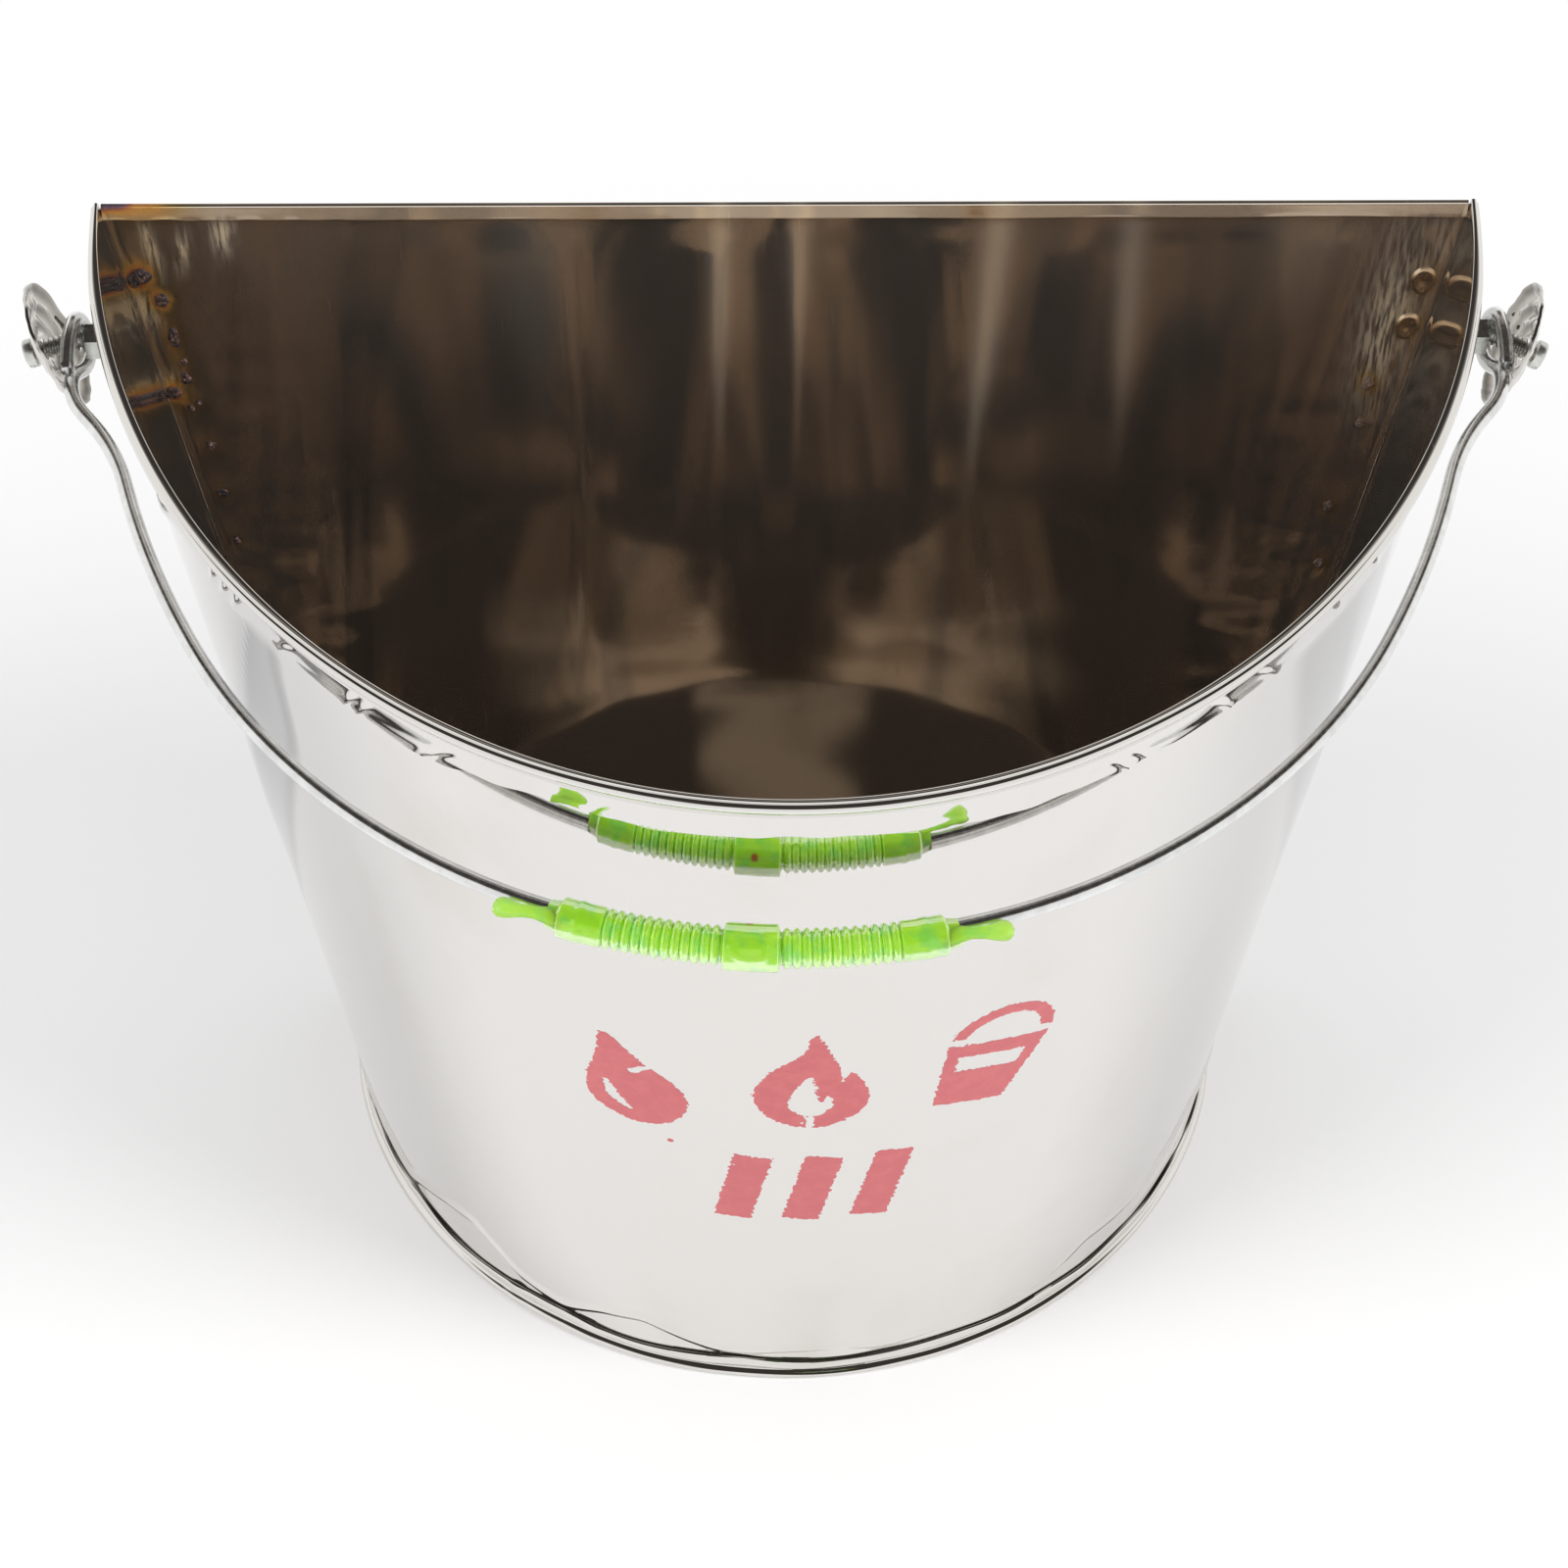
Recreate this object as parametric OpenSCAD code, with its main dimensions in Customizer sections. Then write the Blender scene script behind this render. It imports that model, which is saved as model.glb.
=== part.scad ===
// Flat-backed fire bucket of polished sheet steel with a swinging wire bail and a soft grip

/* [Bucket body] */
// Width across the top, at the back panel
top_width = 330; // [310:2:350]
// Depth at the top, from the back panel to the front rim
top_depth = 195; // [180:1:210]
// Height of the rim at the back panel
height = 276; // [250:1:300]
// How much lower the rim is at the front than at the back
rim_fall = 10; // [4:1:14]
// Width across the bottom, at the back panel
bottom_width = 251; // [235:1:265]
// Depth at the bottom, from the back panel to the front wall
bottom_depth = 140; // [130:1:150]
// How far the foot of the back panel stands in from its top edge
back_lean = 5; // [2:0.5:8]
// How far behind the back panel the top curve would be widest
top_center = 42; // [30:1:54]
// How far in front of the back panel the bottom curve is widest
bottom_center = 10; // [4:1:16]
// Thickness of the sheet steel
sheet = 0.7; // [0.5:0.05:0.8]

/* [Rim and seams] */
// Width of the rolled bead on the rim
bead = 2.4; // [2.2:0.1:2.8]
// Depth of the folded hem under the bead
hem_depth = 11; // [9:0.5:12]
// Height of the fold inside the top edge of the back panel
fold_height = 5; // [4:0.5:7]
// Width of the side flanges spot welded behind the back panel
flange_width = 16; // [12:1:20]
// Height of the seam that folds up around the foot of the walls
seam_height = 8.5; // [7:0.5:11]
// Height of the floor above the ground
floor_height = 5; // [4:0.5:6]
// Diameter of one spot weld
weld_d = 6; // [5:0.5:7]

/* [Ears] */
// How far the ears stand in front of the back panel
ear_forward = 36; // [34:0.5:39]
// How far the ear screws sit below the rim beside them
ear_drop = 12.6; // [12:0.2:14]
// Outside diameter of the ear screw's thread
screw_d = 4.7; // [4:0.1:5]
// Length of the ear screw outside the wire eye
screw_out = 9.8; // [8:0.2:12]
// Diameter of the screw head
head_d = 6.8; // [6.4:0.1:8]
// Length of the screw head
head_len = 3.2; // [2.6:0.1:4]
// Width of a nut across its flats
nut_width = 8; // [7:0.1:8.4]
// Diameter of the dished cup
cup_d = 30; // [26:0.5:31]
// Depth of the dish
cup_depth = 3.4; // [2.5:0.1:4.5]

/* [Bail and grip] */
// Diameter of the bail wire
wire_d = 3.5; // [3:0.1:4]
// Angle of the resting bail, measured from hanging straight down
bail_angle = 79; // [78.5:0.1:80]
// Length of the straight end of the wire with its eye
eye_len = 12; // [11.5:0.1:12.5]
// Length of the grip sleeve along the wire
grip_len = 102; // [90:1:108]
// How far the grip sits to the left of the middle
grip_shift = 9; // [0:1:12]
// Diameter of the sleeve between its ribs
sleeve_d = 7.8; // [7.6:0.1:8.2]
// Diameter of the small ribs on the sleeve
rib_d = 9; // [8.6:0.1:9.6]
// Number of small ribs on each half of the sleeve
rib_count = 11; // [7:1:12]
// Diameter of the middle collar
collar_d = 10.8; // [10:0.1:11.2]
// Length of the middle collar
collar_len = 13; // [10:0.5:15]

/* [Fits] */
// Gap between pieces that are seated on each other
seat = 0.05; // [0.03:0.01:0.08]
// Side play of the wire eye between the nut and the cup
side_play = 0.4; // [0.3:0.05:0.6]
// Play of the wire eye around the screw
eye_play = 0.4; // [0.3:0.05:0.5]
// Open gap between the hem and the wall behind it
hem_gap = 0.3; // [0.2:0.05:0.4]
// Gap that the resting grip and the passing grip keep to the bucket
pass_gap = 0.6; // [0.4:0.1:1]

/* [Hidden] */
$fn = 64;

// Colours as in the photo
steel = [0.80, 0.79, 0.77];
tinted = [0.42, 0.27, 0.30];
zinc = [0.50, 0.50, 0.49];
green = [0.66, 0.93, 0.31];

// Plan curves: each is part of an ellipse, cut off by the back panel
stations = 72;
top_b = top_depth + top_center;
top_start = asin(top_center / top_b);
top_a = top_width / 2 / cos(top_start);
foot_b = bottom_depth - bottom_center;
foot_start = -asin(bottom_center / foot_b);
foot_a = bottom_width / 2 / cos(foot_start);
rim_slope = rim_fall / top_depth;
lean = atan(back_lean / height);

// Heights
foot_z = sheet + seat;
hem_in = sheet + hem_gap;
hem_out = hem_in + sheet;

// Ears
wire_r = wire_d / 2;
screw_r = screw_d / 2;
ear_y = -ear_forward;
ear_z = height - rim_slope * ear_forward - ear_drop;
eye_r = screw_r + eye_play + wire_r;
ear_s = find_s(ear_y, ear_z);
ear_seat = wall_at(ear_s, hem_out, ear_z);
ear_out = outward(ear_s, ear_z);
nut_thick = 5;
nut_face = ear_seat[0] + nut_thick;
ear_x = nut_face + side_play + wire_r;
cup_face = ear_x + wire_r + side_play;
cup_wall = 0.8;
head_x = ear_x + screw_out;

// Bail: arcs that meet smoothly, named from the middle of the wire to its ends
rim_front = [-(top_depth + bead), height - rim_fall - bead];
pass_reach = norm([rim_front[0] - ear_y, rim_front[1] - ear_z]);
grip_ecc = (collar_d - sleeve_d) / 2 * 0.8;
grip_reach = pass_reach + pass_gap + collar_d / 2;
reach = grip_reach - grip_ecc;
turn_mid = 27;
turn_side = 60;
turn_low = 72;
turn_knee = 50;
knee_r = 18;
bend_r = 60;
knee_straight = 2;
low_to_side = 1.6;
knee_x = knee_r * (1 - sin(turn_knee)) + knee_straight * cos(turn_knee)
    + bend_r * (sin(turn_low) - sin(turn_knee));
knee_t = eye_len + knee_r * cos(turn_knee) + knee_straight * sin(turn_knee)
    + bend_r * (cos(turn_knee) - cos(turn_low));
// Two equations, across and along, give the two free radii
across = ear_x - knee_x;
along = reach - knee_t;
c1 = sin(turn_mid);
c2 = sin(turn_side) - sin(turn_mid) + low_to_side * (sin(turn_low) - sin(turn_side));
c3 = 1 - cos(turn_mid);
c4 = cos(turn_mid) - cos(turn_side) + low_to_side * (cos(turn_side) - cos(turn_low));
det = c1 * c4 - c2 * c3;
mid_r = (across * c4 - c2 * along) / det;
side_r = (c1 * along - across * c3) / det;
low_r = side_r * low_to_side;
mid_c = [0, reach - mid_r];
mid_end = mid_c + mid_r * [sin(turn_mid), cos(turn_mid)];
side_c = mid_end - side_r * [sin(turn_mid), cos(turn_mid)];
side_end = side_c + side_r * [sin(turn_side), cos(turn_side)];
low_c = side_end - low_r * [sin(turn_side), cos(turn_side)];
low_end = low_c + low_r * [sin(turn_low), cos(turn_low)];
bend_c = low_end + bend_r * [sin(turn_low), cos(turn_low)];
bend_end = bend_c - bend_r * [sin(turn_knee), cos(turn_knee)];
knee_c = [ear_x - knee_r, eye_len];
knee_top = knee_c + knee_r * [sin(turn_knee), cos(turn_knee)];

// The bent part of the wire is drawn with many sides, just round the true wire
wire_sides = 16;
wire_tube_r = wire_r * 1.005 / cos(180 / wire_sides);

// Grip along the middle arc
grip_r = mid_r + grip_ecc;
grip_turn = grip_len / grip_r * 180 / PI;
grip_middle = 90 + grip_shift / grip_r * 180 / PI;
rib_thick = 1.7;
end_r = sleeve_d / 2 + 0.4;

// The origin is under the middle of the whole part, on the ground
front_y = ear_y - grip_reach * sin(bail_angle) - collar_d / 2;
back_y = (2 * sheet + seat) / cos(lean);
shift_y = -(front_y + back_y) / 2;

function mix(a, b, t) = a + (b - a) * t;
function unit(v) = v / norm(v);

// Inner edge of the rim at station s, from 0 at the right corner to 1 at the left corner
function top_at(s) =
    let (a = mix(top_start, 180 - top_start, s), y = top_center - top_b * sin(a))
    [top_a * cos(a), y, height + rim_slope * y];

// Inner line of the wall on the ground
function foot_at(s) =
    let (a = mix(foot_start, 180 - foot_start, s))
    [foot_a * cos(a), -back_lean - bottom_center - foot_b * sin(a), 0];

// Level direction out of the wall at station s
function level_out(s) =
    let (a = mix(top_start, 180 - top_start, s), b = mix(foot_start, 180 - foot_start, s))
    unit(unit([cos(a) / top_a, -sin(a) / top_b, 0]) + unit([cos(b) / foot_a, -sin(b) / foot_b, 0]));

// Point on the wall at station s, u outward from its inner face, at height z
function wall_at(s, u, z, dir = undef) =
    mix(foot_at(s), top_at(s), z / top_at(s)[2]) + u * (is_undef(dir) ? level_out(s) : dir);

// True outward direction of the wall
function outward(s, z) =
    let (d = 0.001)
    unit(cross(top_at(s) - foot_at(s), wall_at(s + d, 0, z) - wall_at(s - d, 0, z)));

// Station where the wall has the given depth, halving the range each time
function find_s(y, z, lo = 0, hi = 0.5, n = 26) =
    n == 0 ? lo
    : wall_at((lo + hi) / 2, 0, z)[1] > y ? find_s(y, z, (lo + hi) / 2, hi, n - 1)
    : find_s(y, z, lo, (lo + hi) / 2, n - 1);

// Outward direction of the seam, which turns the two back corners in one mitre
function seam_out(s) =
    s > 0 && s < 1 ? level_out(s)
    : let (n = level_out(s)) (n + [0, 1, 0]) / (1 + n[1]);

// Triangles between neighbouring rings of n points each
function skin(rings, n, closed = false) =
    [for (i = [0 : closed ? rings - 1 : rings - 2], j = [0 : n - 1])
        let (k = (i + 1) % rings, m = (j + 1) % n)
        each [[i * n + j, k * n + j, k * n + m], [i * n + j, k * n + m, i * n + m]]];

// Section of the rim, from the gap behind the hem over the bead to the inner edge:
// outward from the inner face, then down from the rim
rim_section = concat(
    [[sheet, bead * 2.1], [hem_in, bead * 2.1], [hem_in, hem_depth], [hem_out, hem_depth],
        [hem_out, bead * 1.95]],
    bead * [[0.86, 1.62], [1, 1.3], [0.98, 0.98], [0.82, 0.72], [0.88, 0.42], [0.72, 0.1],
        [0.44, 0], [0.14, 0.2], [0, 0.55]]);

// Section of the bottom seam: outward from the inner face of the wall, then up from the ground
seam_in = -seat - sheet;
seam_out_u = sheet + seat;
seam_section = [[seam_in, 0], [seam_out_u + sheet * 0.6, 0], [seam_out_u + sheet * 1.6, 0.4],
    [seam_out_u + sheet * 1.9, 1.2], [seam_out_u + sheet * 1.6, 2], [seam_out_u + sheet, 2.5],
    [seam_out_u + sheet, seam_height], [seam_out_u, seam_height], [seam_out_u, sheet],
    [-seat, sheet], [-seat, floor_height + sheet], [seam_in, floor_height + sheet]];

module placed() {
    translate([0, shift_y, 0])
        children();
}

// A flat sheet that leans like the back panel, between two distances behind the panel's face
module leaning(near, far) {
    translate([0, -back_lean, 0])
        rotate([90 - lean, 0, 0])
            translate([0, 0, -far])
                linear_extrude(far - near)
                    children();
}

// Half width of the bucket at height z along the back corners, less an allowance
function half_at(z, less = 0) = mix(bottom_width / 2, top_width / 2, z / height) - less;

// Ring of points down the front wall's section at station s
function wall_ring(s) =
    let (z = top_at(s)[2])
    concat(
        [wall_at(s, sheet, foot_z)],
        [for (p = rim_section) wall_at(s, p[0], z - p[1])],
        [wall_at(s, 0, foot_z)]);

// Ring with as many points on the plain flange behind the panel, so far in from its corner;
// out is the direction of its thickness
flange_low = seam_height + 3;
flange_high = height - 2;
function flange_ring(side, inward, out) =
    let (n = len(rim_section) + 2, step = 0.4)
    [for (j = [0 : n - 1])
        let (z = j == 0 || j == n - 1 ? flange_low : flange_high - max(0, n - 3 - j) * step)
        [side * (half_at(z) - inward), sheet + seat - back_lean * (1 - z / height), z]
            + (j < n - 2 ? sheet : 0) * out];

// Front wall: one sheet bent round, with a rolled bead and a hem folded outward,
// and its two ends turned in behind the back panel
module front_wall() {
    rings = concat(
        [flange_ring(1, flange_width, [0, 1, 0]), flange_ring(1, 0, [1, 1, 0])],
        [for (i = [0 : stations]) wall_ring(i / stations)],
        [flange_ring(-1, 0, [-1, 1, 0]), flange_ring(-1, flange_width, [0, 1, 0])]);
    n = len(rings[0]);
    last = (len(rings) - 1) * n;
    ends = [[for (j = [0 : n - 1]) j], [for (j = [n - 1 : -1 : 0]) last + j]];
    color(steel)
        placed()
            polyhedron([for (ring = rings) each ring], concat(ends, skin(len(rings), n)));
}

// Back panel: a flat sheet with its top edge folded down inside
module back_panel() {
    turn_z = height - 1;
    color(steel)
        placed() {
            leaning(0, sheet)
                polygon([[-half_at(foot_z, seat), foot_z], [half_at(foot_z, seat), foot_z],
                    [half_at(turn_z, seat), turn_z], [-half_at(turn_z, seat), turn_z]]);
            translate([0, -back_lean, 0])
                rotate([-lean, 0, 0])
                    translate([0, 0, turn_z])
                        fold(half_at(height - fold_height, 1));
        }
}

// The folded top edge: a round turn with its lip hanging inside
module fold(half) {
    turn_r = sheet + seat / 2;
    turn_y = sheet - turn_r;
    translate([-half, 0, 0])
        rotate([90, 0, 90])
            linear_extrude(2 * half) {
                translate([turn_y, 0])
                    difference() {
                        circle(r = turn_r);
                        translate([-2 * turn_r, -4 * turn_r])
                            square(4 * turn_r);
                    }
                translate([turn_y - turn_r, -fold_height])
                    square([sheet, fold_height + 0.1]);
                translate([0, -0.5])
                    square([sheet, 0.6]);
            }
}

// Bottom: a recessed floor whose edge folds down, under and up around the walls
module bottom_plate() {
    n = len(seam_section);
    points = [for (i = [0 : stations], p = seam_section)
        wall_at(i / stations, p[0], p[1], seam_out(i / stations))];
    floor_line = [for (i = [0 : stations])
        let (p = wall_at(i / stations, -seat - sheet / 2, floor_height, seam_out(i / stations)))
        [p[0], p[1]]];
    color(steel)
        placed() {
            polyhedron(points, skin(stations + 1, n, true));
            translate([0, 0, floor_height])
                linear_extrude(sheet)
                    polygon(floor_line);
        }
}

// Spot welds that hold the back panel to the side flanges: how far in from the corner,
// as a share of the flange, and how high, as a share of the height
weld_left = [[0.29, 0.928], [0.45, 0.902], [0.43, 0.862], [0.4, 0.819], [0.31, 0.786], [0.41, 0.743],
    [0.34, 0.688], [0.28, 0.632]];
weld_right = [[0.29, 0.918], [0.28, 0.87], [0.59, 0.808], [0.49, 0.764], [0.52, 0.667], [0.33, 0.598]];
module spot_welds() {
    color(tinted)
        placed() {
            for (w = weld_right)
                weld(half_at(w[1] * height, w[0] * flange_width), w[1] * height);
            for (w = weld_left)
                weld(-half_at(w[1] * height, w[0] * flange_width), w[1] * height);
        }
}

// One pressed spot: a low ring with a dimple
module weld(x, z) {
    ring_h = 0.3;
    translate([0, -back_lean, 0])
        rotate([90 - lean, 0, 0])
            translate([x, z / cos(lean), seat])
                difference() {
                    cylinder(h = ring_h, r1 = weld_d / 2, r2 = weld_d / 2 - ring_h);
                    translate([0, 0, weld_d * 0.7 + ring_h * 0.4])
                        sphere(r = weld_d * 0.7);
                }
}

// Everything on an ear is drawn along X at the right ear and mirrored for the left
module on_ear(side) {
    placed()
        mirror([side < 0 ? 1 : 0, 0, 0])
            children();
}

module along_x(x) {
    translate([x, ear_y, ear_z])
        rotate([0, 90, 0])
            children();
}

// Hexagon nut whose base is trimmed to lie on the hem
module ear_nut(side) {
    block = 30;
    base_x = ear_seat[0] - 3;
    color(zinc)
        on_ear(side)
            difference() {
                along_x(base_x)
                    linear_extrude(nut_face - base_x)
                        circle(d = nut_width / cos(30), $fn = 6);
                along_x(base_x - 1)
                    cylinder(h = block, r = screw_r + seat);
                translate(ear_seat + ear_out * seat)
                    rotate([0, -asin(ear_out[2]), atan2(ear_out[1], ear_out[0])])
                        translate([-block, -block / 2, -block / 2])
                            cube(block);
            }
}

// Cheese-head screw
module ear_screw(side) {
    tip_x = ear_seat[0] + 1.3;
    tip_r = screw_r - 0.5;
    slot_w = 1.1;
    slot_d = 1.4;
    edge = 0.4;
    color(zinc)
        on_ear(side) {
            along_x(tip_x)
                cylinder(h = head_x - tip_x + 0.5, r = screw_r);
            difference() {
                union() {
                    along_x(head_x)
                        cylinder(h = head_len - edge, r = head_d / 2);
                    along_x(head_x + head_len - edge)
                        cylinder(h = edge, r1 = head_d / 2, r2 = head_d / 2 - edge);
                }
                translate([head_x + head_len - slot_d, ear_y - head_d, ear_z - slot_w / 2])
                    cube([2 * slot_d, 2 * head_d, slot_w]);
            }
        }
}

// Dished cup, hollow side towards the bucket
module ear_cup(side) {
    dish_r = (pow(cup_d / 2, 2) + pow(cup_depth, 2)) / (2 * cup_depth);
    color(steel)
        on_ear(side)
            along_x(cup_face)
                rotate_extrude()
                    intersection() {
                        translate([0, cup_depth - dish_r])
                            difference() {
                                circle(r = dish_r + cup_wall, $fn = 180);
                                circle(r = dish_r, $fn = 180);
                            }
                        translate([screw_r + seat, 0])
                            square([(cup_d - screw_d) / 2 - seat, cup_depth + 2 * cup_wall]);
                    }
}

// Places the flat bail drawing, across X and along the reach, at its resting angle
module bail_plane() {
    placed()
        translate([0, ear_y, ear_z])
            rotate([270 - bail_angle, 0, 0])
                children();
}

// Points with their headings along an arc; side -1 is an arc that bends the other way
function arc_steps(center, r, from, to, n, first = 1, side = 1) =
    [for (i = [first : n]) let (a = mix(from, to, i / n)) [center + side * r * [sin(a), cos(a)], a]];

// The wire's line from the middle of the bail to its straight end on the right
half_path = concat(
    arc_steps(mid_c, mid_r, 0, turn_mid, 18, 0),
    arc_steps(side_c, side_r, turn_mid, turn_side, 12),
    arc_steps(low_c, low_r, turn_side, turn_low, 5),
    arc_steps(bend_c, bend_r, turn_low, turn_knee, 6, 1, -1),
    arc_steps(knee_c, knee_r, turn_knee, 90, 8, 0));
wire_path = concat(
    [for (i = [len(half_path) - 1 : -1 : 1]) [[-half_path[i][0][0], half_path[i][0][1]], -half_path[i][1]]],
    half_path);

// One galvanised wire: a bent round bar with an eye at each end
module bail_wire() {
    n = wire_sides;
    points = [for (p = wire_path, i = [0 : n - 1])
        let (a = p[1], f = i * 360 / n)
        [p[0][0] + wire_tube_r * cos(f) * sin(a), p[0][1] + wire_tube_r * cos(f) * cos(a),
            wire_tube_r * sin(f)]];
    last = (len(wire_path) - 1) * n;
    ends = [[for (i = [0 : n - 1]) i], [for (i = [n - 1 : -1 : 0]) last + i]];
    color(zinc)
        bail_plane() {
            polyhedron(points, concat(ends, skin(len(wire_path), n)));
            bail_eye();
            mirror([1, 0, 0])
                bail_eye();
        }
}

// Straight end of the wire with the eye that is bent round the screw
module bail_eye() {
    translate([ear_x, eye_r, 0])
        rotate([-90, 0, 0])
            cylinder(h = eye_len + 0.5 - eye_r, r = wire_r);
    translate([ear_x, 0, 0])
        rotate([0, 90, 0])
            rotate_extrude()
                translate([eye_r, 0])
                    circle(r = wire_r);
}

// Puts its children across the sleeve at an angle along the middle arc
module on_grip(a) {
    translate(mid_c)
        rotate(a)
            translate([grip_r, 0, 0])
                rotate([90, 0, 0])
                    children();
}

// Soft sleeve on the wire: ribs, three collars and rounded ends
module grip() {
    half_turn = grip_turn / 2;
    rib_step = (half_turn - 4) / (rib_count + 1.5);
    end_collar = 3.6;
    color(green)
        bail_plane()
            difference() {
                union() {
                    translate(mid_c)
                        rotate(grip_middle - half_turn)
                            rotate_extrude(angle = grip_turn)
                                translate([grip_r, 0])
                                    circle(r = sleeve_d / 2);
                    for (k = [-1, 1]) {
                        on_grip(grip_middle + k * half_turn)
                            sphere(r = end_r);
                        on_grip(grip_middle + k * half_turn * 0.68)
                            cylinder(h = end_collar, r = rib_d / 2 + 0.3, center = true);
                        for (i = [1 : rib_count])
                            on_grip(grip_middle + k * (3.4 + i * rib_step))
                                cylinder(h = rib_thick, r = rib_d / 2, center = true);
                    }
                    on_grip(grip_middle)
                        cylinder(h = collar_len, r = collar_d / 2, center = true);
                }
                translate(mid_c)
                    rotate(grip_middle - half_turn - 5)
                        rotate_extrude(angle = grip_turn + 10)
                            translate([mid_r, 0])
                                circle(r = wire_tube_r + seat);
            }
}

front_wall();
back_panel();
bottom_plate();
spot_welds();
ear_nut(-1);  // ear_nut_left
ear_nut(1);  // ear_nut_right
ear_screw(-1);  // ear_screw_left
ear_screw(1);  // ear_screw_right
ear_cup(-1);  // ear_cup_left
ear_cup(1);  // ear_cup_right
bail_wire();
grip();
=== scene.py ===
# %% [markdown]
# # A flat-backed fire bucket
# The bucket is three pieces of thin polished steel, two screwed ears, one bent wire and one soft
# green sleeve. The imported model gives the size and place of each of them, and this lesson builds the
# finished pieces around it: the sheet with its folds and dents, the threads, and every surface.

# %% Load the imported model
from math import asin, atan, cos, hypot, pi, radians, sin, sqrt

import bpy
import numpy as np
from mathutils import Matrix, Vector


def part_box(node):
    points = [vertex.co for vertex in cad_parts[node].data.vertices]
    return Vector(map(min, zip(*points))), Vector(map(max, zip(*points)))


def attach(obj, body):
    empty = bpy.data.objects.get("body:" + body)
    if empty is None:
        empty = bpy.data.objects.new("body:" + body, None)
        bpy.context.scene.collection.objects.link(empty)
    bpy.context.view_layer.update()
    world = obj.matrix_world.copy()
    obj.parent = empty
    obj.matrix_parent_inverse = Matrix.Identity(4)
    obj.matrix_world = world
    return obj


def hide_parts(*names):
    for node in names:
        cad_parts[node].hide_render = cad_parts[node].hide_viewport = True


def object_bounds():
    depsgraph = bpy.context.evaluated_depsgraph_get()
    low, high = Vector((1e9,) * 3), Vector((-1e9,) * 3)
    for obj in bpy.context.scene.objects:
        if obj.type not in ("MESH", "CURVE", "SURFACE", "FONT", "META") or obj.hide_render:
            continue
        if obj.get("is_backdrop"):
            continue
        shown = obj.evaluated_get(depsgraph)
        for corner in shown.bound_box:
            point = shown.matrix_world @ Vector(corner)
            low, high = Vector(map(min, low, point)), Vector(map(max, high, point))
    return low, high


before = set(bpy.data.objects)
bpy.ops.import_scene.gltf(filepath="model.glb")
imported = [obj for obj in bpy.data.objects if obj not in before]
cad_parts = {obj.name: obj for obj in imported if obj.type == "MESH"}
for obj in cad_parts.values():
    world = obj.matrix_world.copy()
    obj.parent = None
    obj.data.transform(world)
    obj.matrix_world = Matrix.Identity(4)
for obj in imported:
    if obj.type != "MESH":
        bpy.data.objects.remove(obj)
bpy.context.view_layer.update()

# %% [markdown]
# ## Sizes and curves of the sheet metal
# The wall is a surface between two curves: the rim above and the foot on the ground, each a part of
# an ellipse. Working in millimetres keeps the numbers readable. One small function gives a point for
# any place on the wall, so all sheet pieces share it and fit each other.

# %% Sizes in millimetres
MM = 0.001
TOP_WIDTH, TOP_DEPTH, HEIGHT, RIM_FALL = 330.0, 195.0, 276.0, 10.0
FOOT_WIDTH, FOOT_DEPTH, BACK_LEAN = 251.0, 140.0, 5.0
TOP_CENTER, FOOT_CENTER = 42.0, 10.0
SHEET, SEAT, BEAD = 0.7, 0.05, 2.4
HEM_IN, HEM_OUT, HEM_DEPTH, HEM_TOP = 1.0, 1.7, 11.5, 2.1 * BEAD
FLOOR_Z, WALL_FOOT = 5.0, SHEET + SEAT

top_b = TOP_DEPTH + TOP_CENTER
top_start = asin(TOP_CENTER / top_b)
top_a = TOP_WIDTH / 2 / cos(top_start)
foot_b = FOOT_DEPTH - FOOT_CENTER
foot_start = -asin(FOOT_CENTER / foot_b)
foot_a = FOOT_WIDTH / 2 / cos(foot_start)
lean = atan(BACK_LEAN / HEIGHT)

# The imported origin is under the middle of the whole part, so everything moves back by this
shift_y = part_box("front_wall")[0].y / MM + TOP_DEPTH + BEAD
print("shift along y, mm:", round(shift_y, 3))


# %% Points on the wall
def xyz(*parts):
    """Points from their coordinates, each a number or an array."""
    return np.stack(np.broadcast_arrays(*parts), -1)


def unit(v):
    return v / np.linalg.norm(v, axis=-1, keepdims=True)


def turned(s, start):
    """Angle on the ellipse at station s, from 0 at the right corner to 1 at the left corner."""
    return start + (pi - 2 * start) * s


def rim_at(s):
    a = turned(s, top_start)
    y = TOP_CENTER - top_b * np.sin(a)
    return xyz(top_a * np.cos(a), y, HEIGHT + RIM_FALL / TOP_DEPTH * y)


def foot_at(s):
    a = turned(s, foot_start)
    return xyz(foot_a * np.cos(a), -BACK_LEAN - FOOT_CENTER - foot_b * np.sin(a), 0)


def level_out(s):
    """Level direction out of the wall."""
    a, b = turned(s, top_start), turned(s, foot_start)
    at_rim = unit(xyz(np.cos(a) / top_a, -np.sin(a) / top_b, 0))
    return unit(at_rim + unit(xyz(np.cos(b) / foot_a, -np.sin(b) / foot_b, 0)))


def wall_at(s, u, z, out=None):
    """Point u outward from the wall's inner face at height z."""
    rim, foot = rim_at(s), foot_at(s)
    t = ((z + 0 * s) / rim[..., 2])[..., None]
    out = level_out(s) if out is None else out
    return foot + (rim - foot) * t + (u + 0 * s)[..., None] * out


def half_at(z):
    """Half the width of the bucket along its back corners."""
    return FOOT_WIDTH / 2 + (TOP_WIDTH - FOOT_WIDTH) / 2 * z / HEIGHT


# %% [markdown]
# ## Small helpers for dents and noise
# Thin sheet is never perfectly flat, and a mirror finish shows it. A sum of a few waves with seeded
# random phases gives a smooth, repeatable unevenness in one or two directions.

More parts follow.
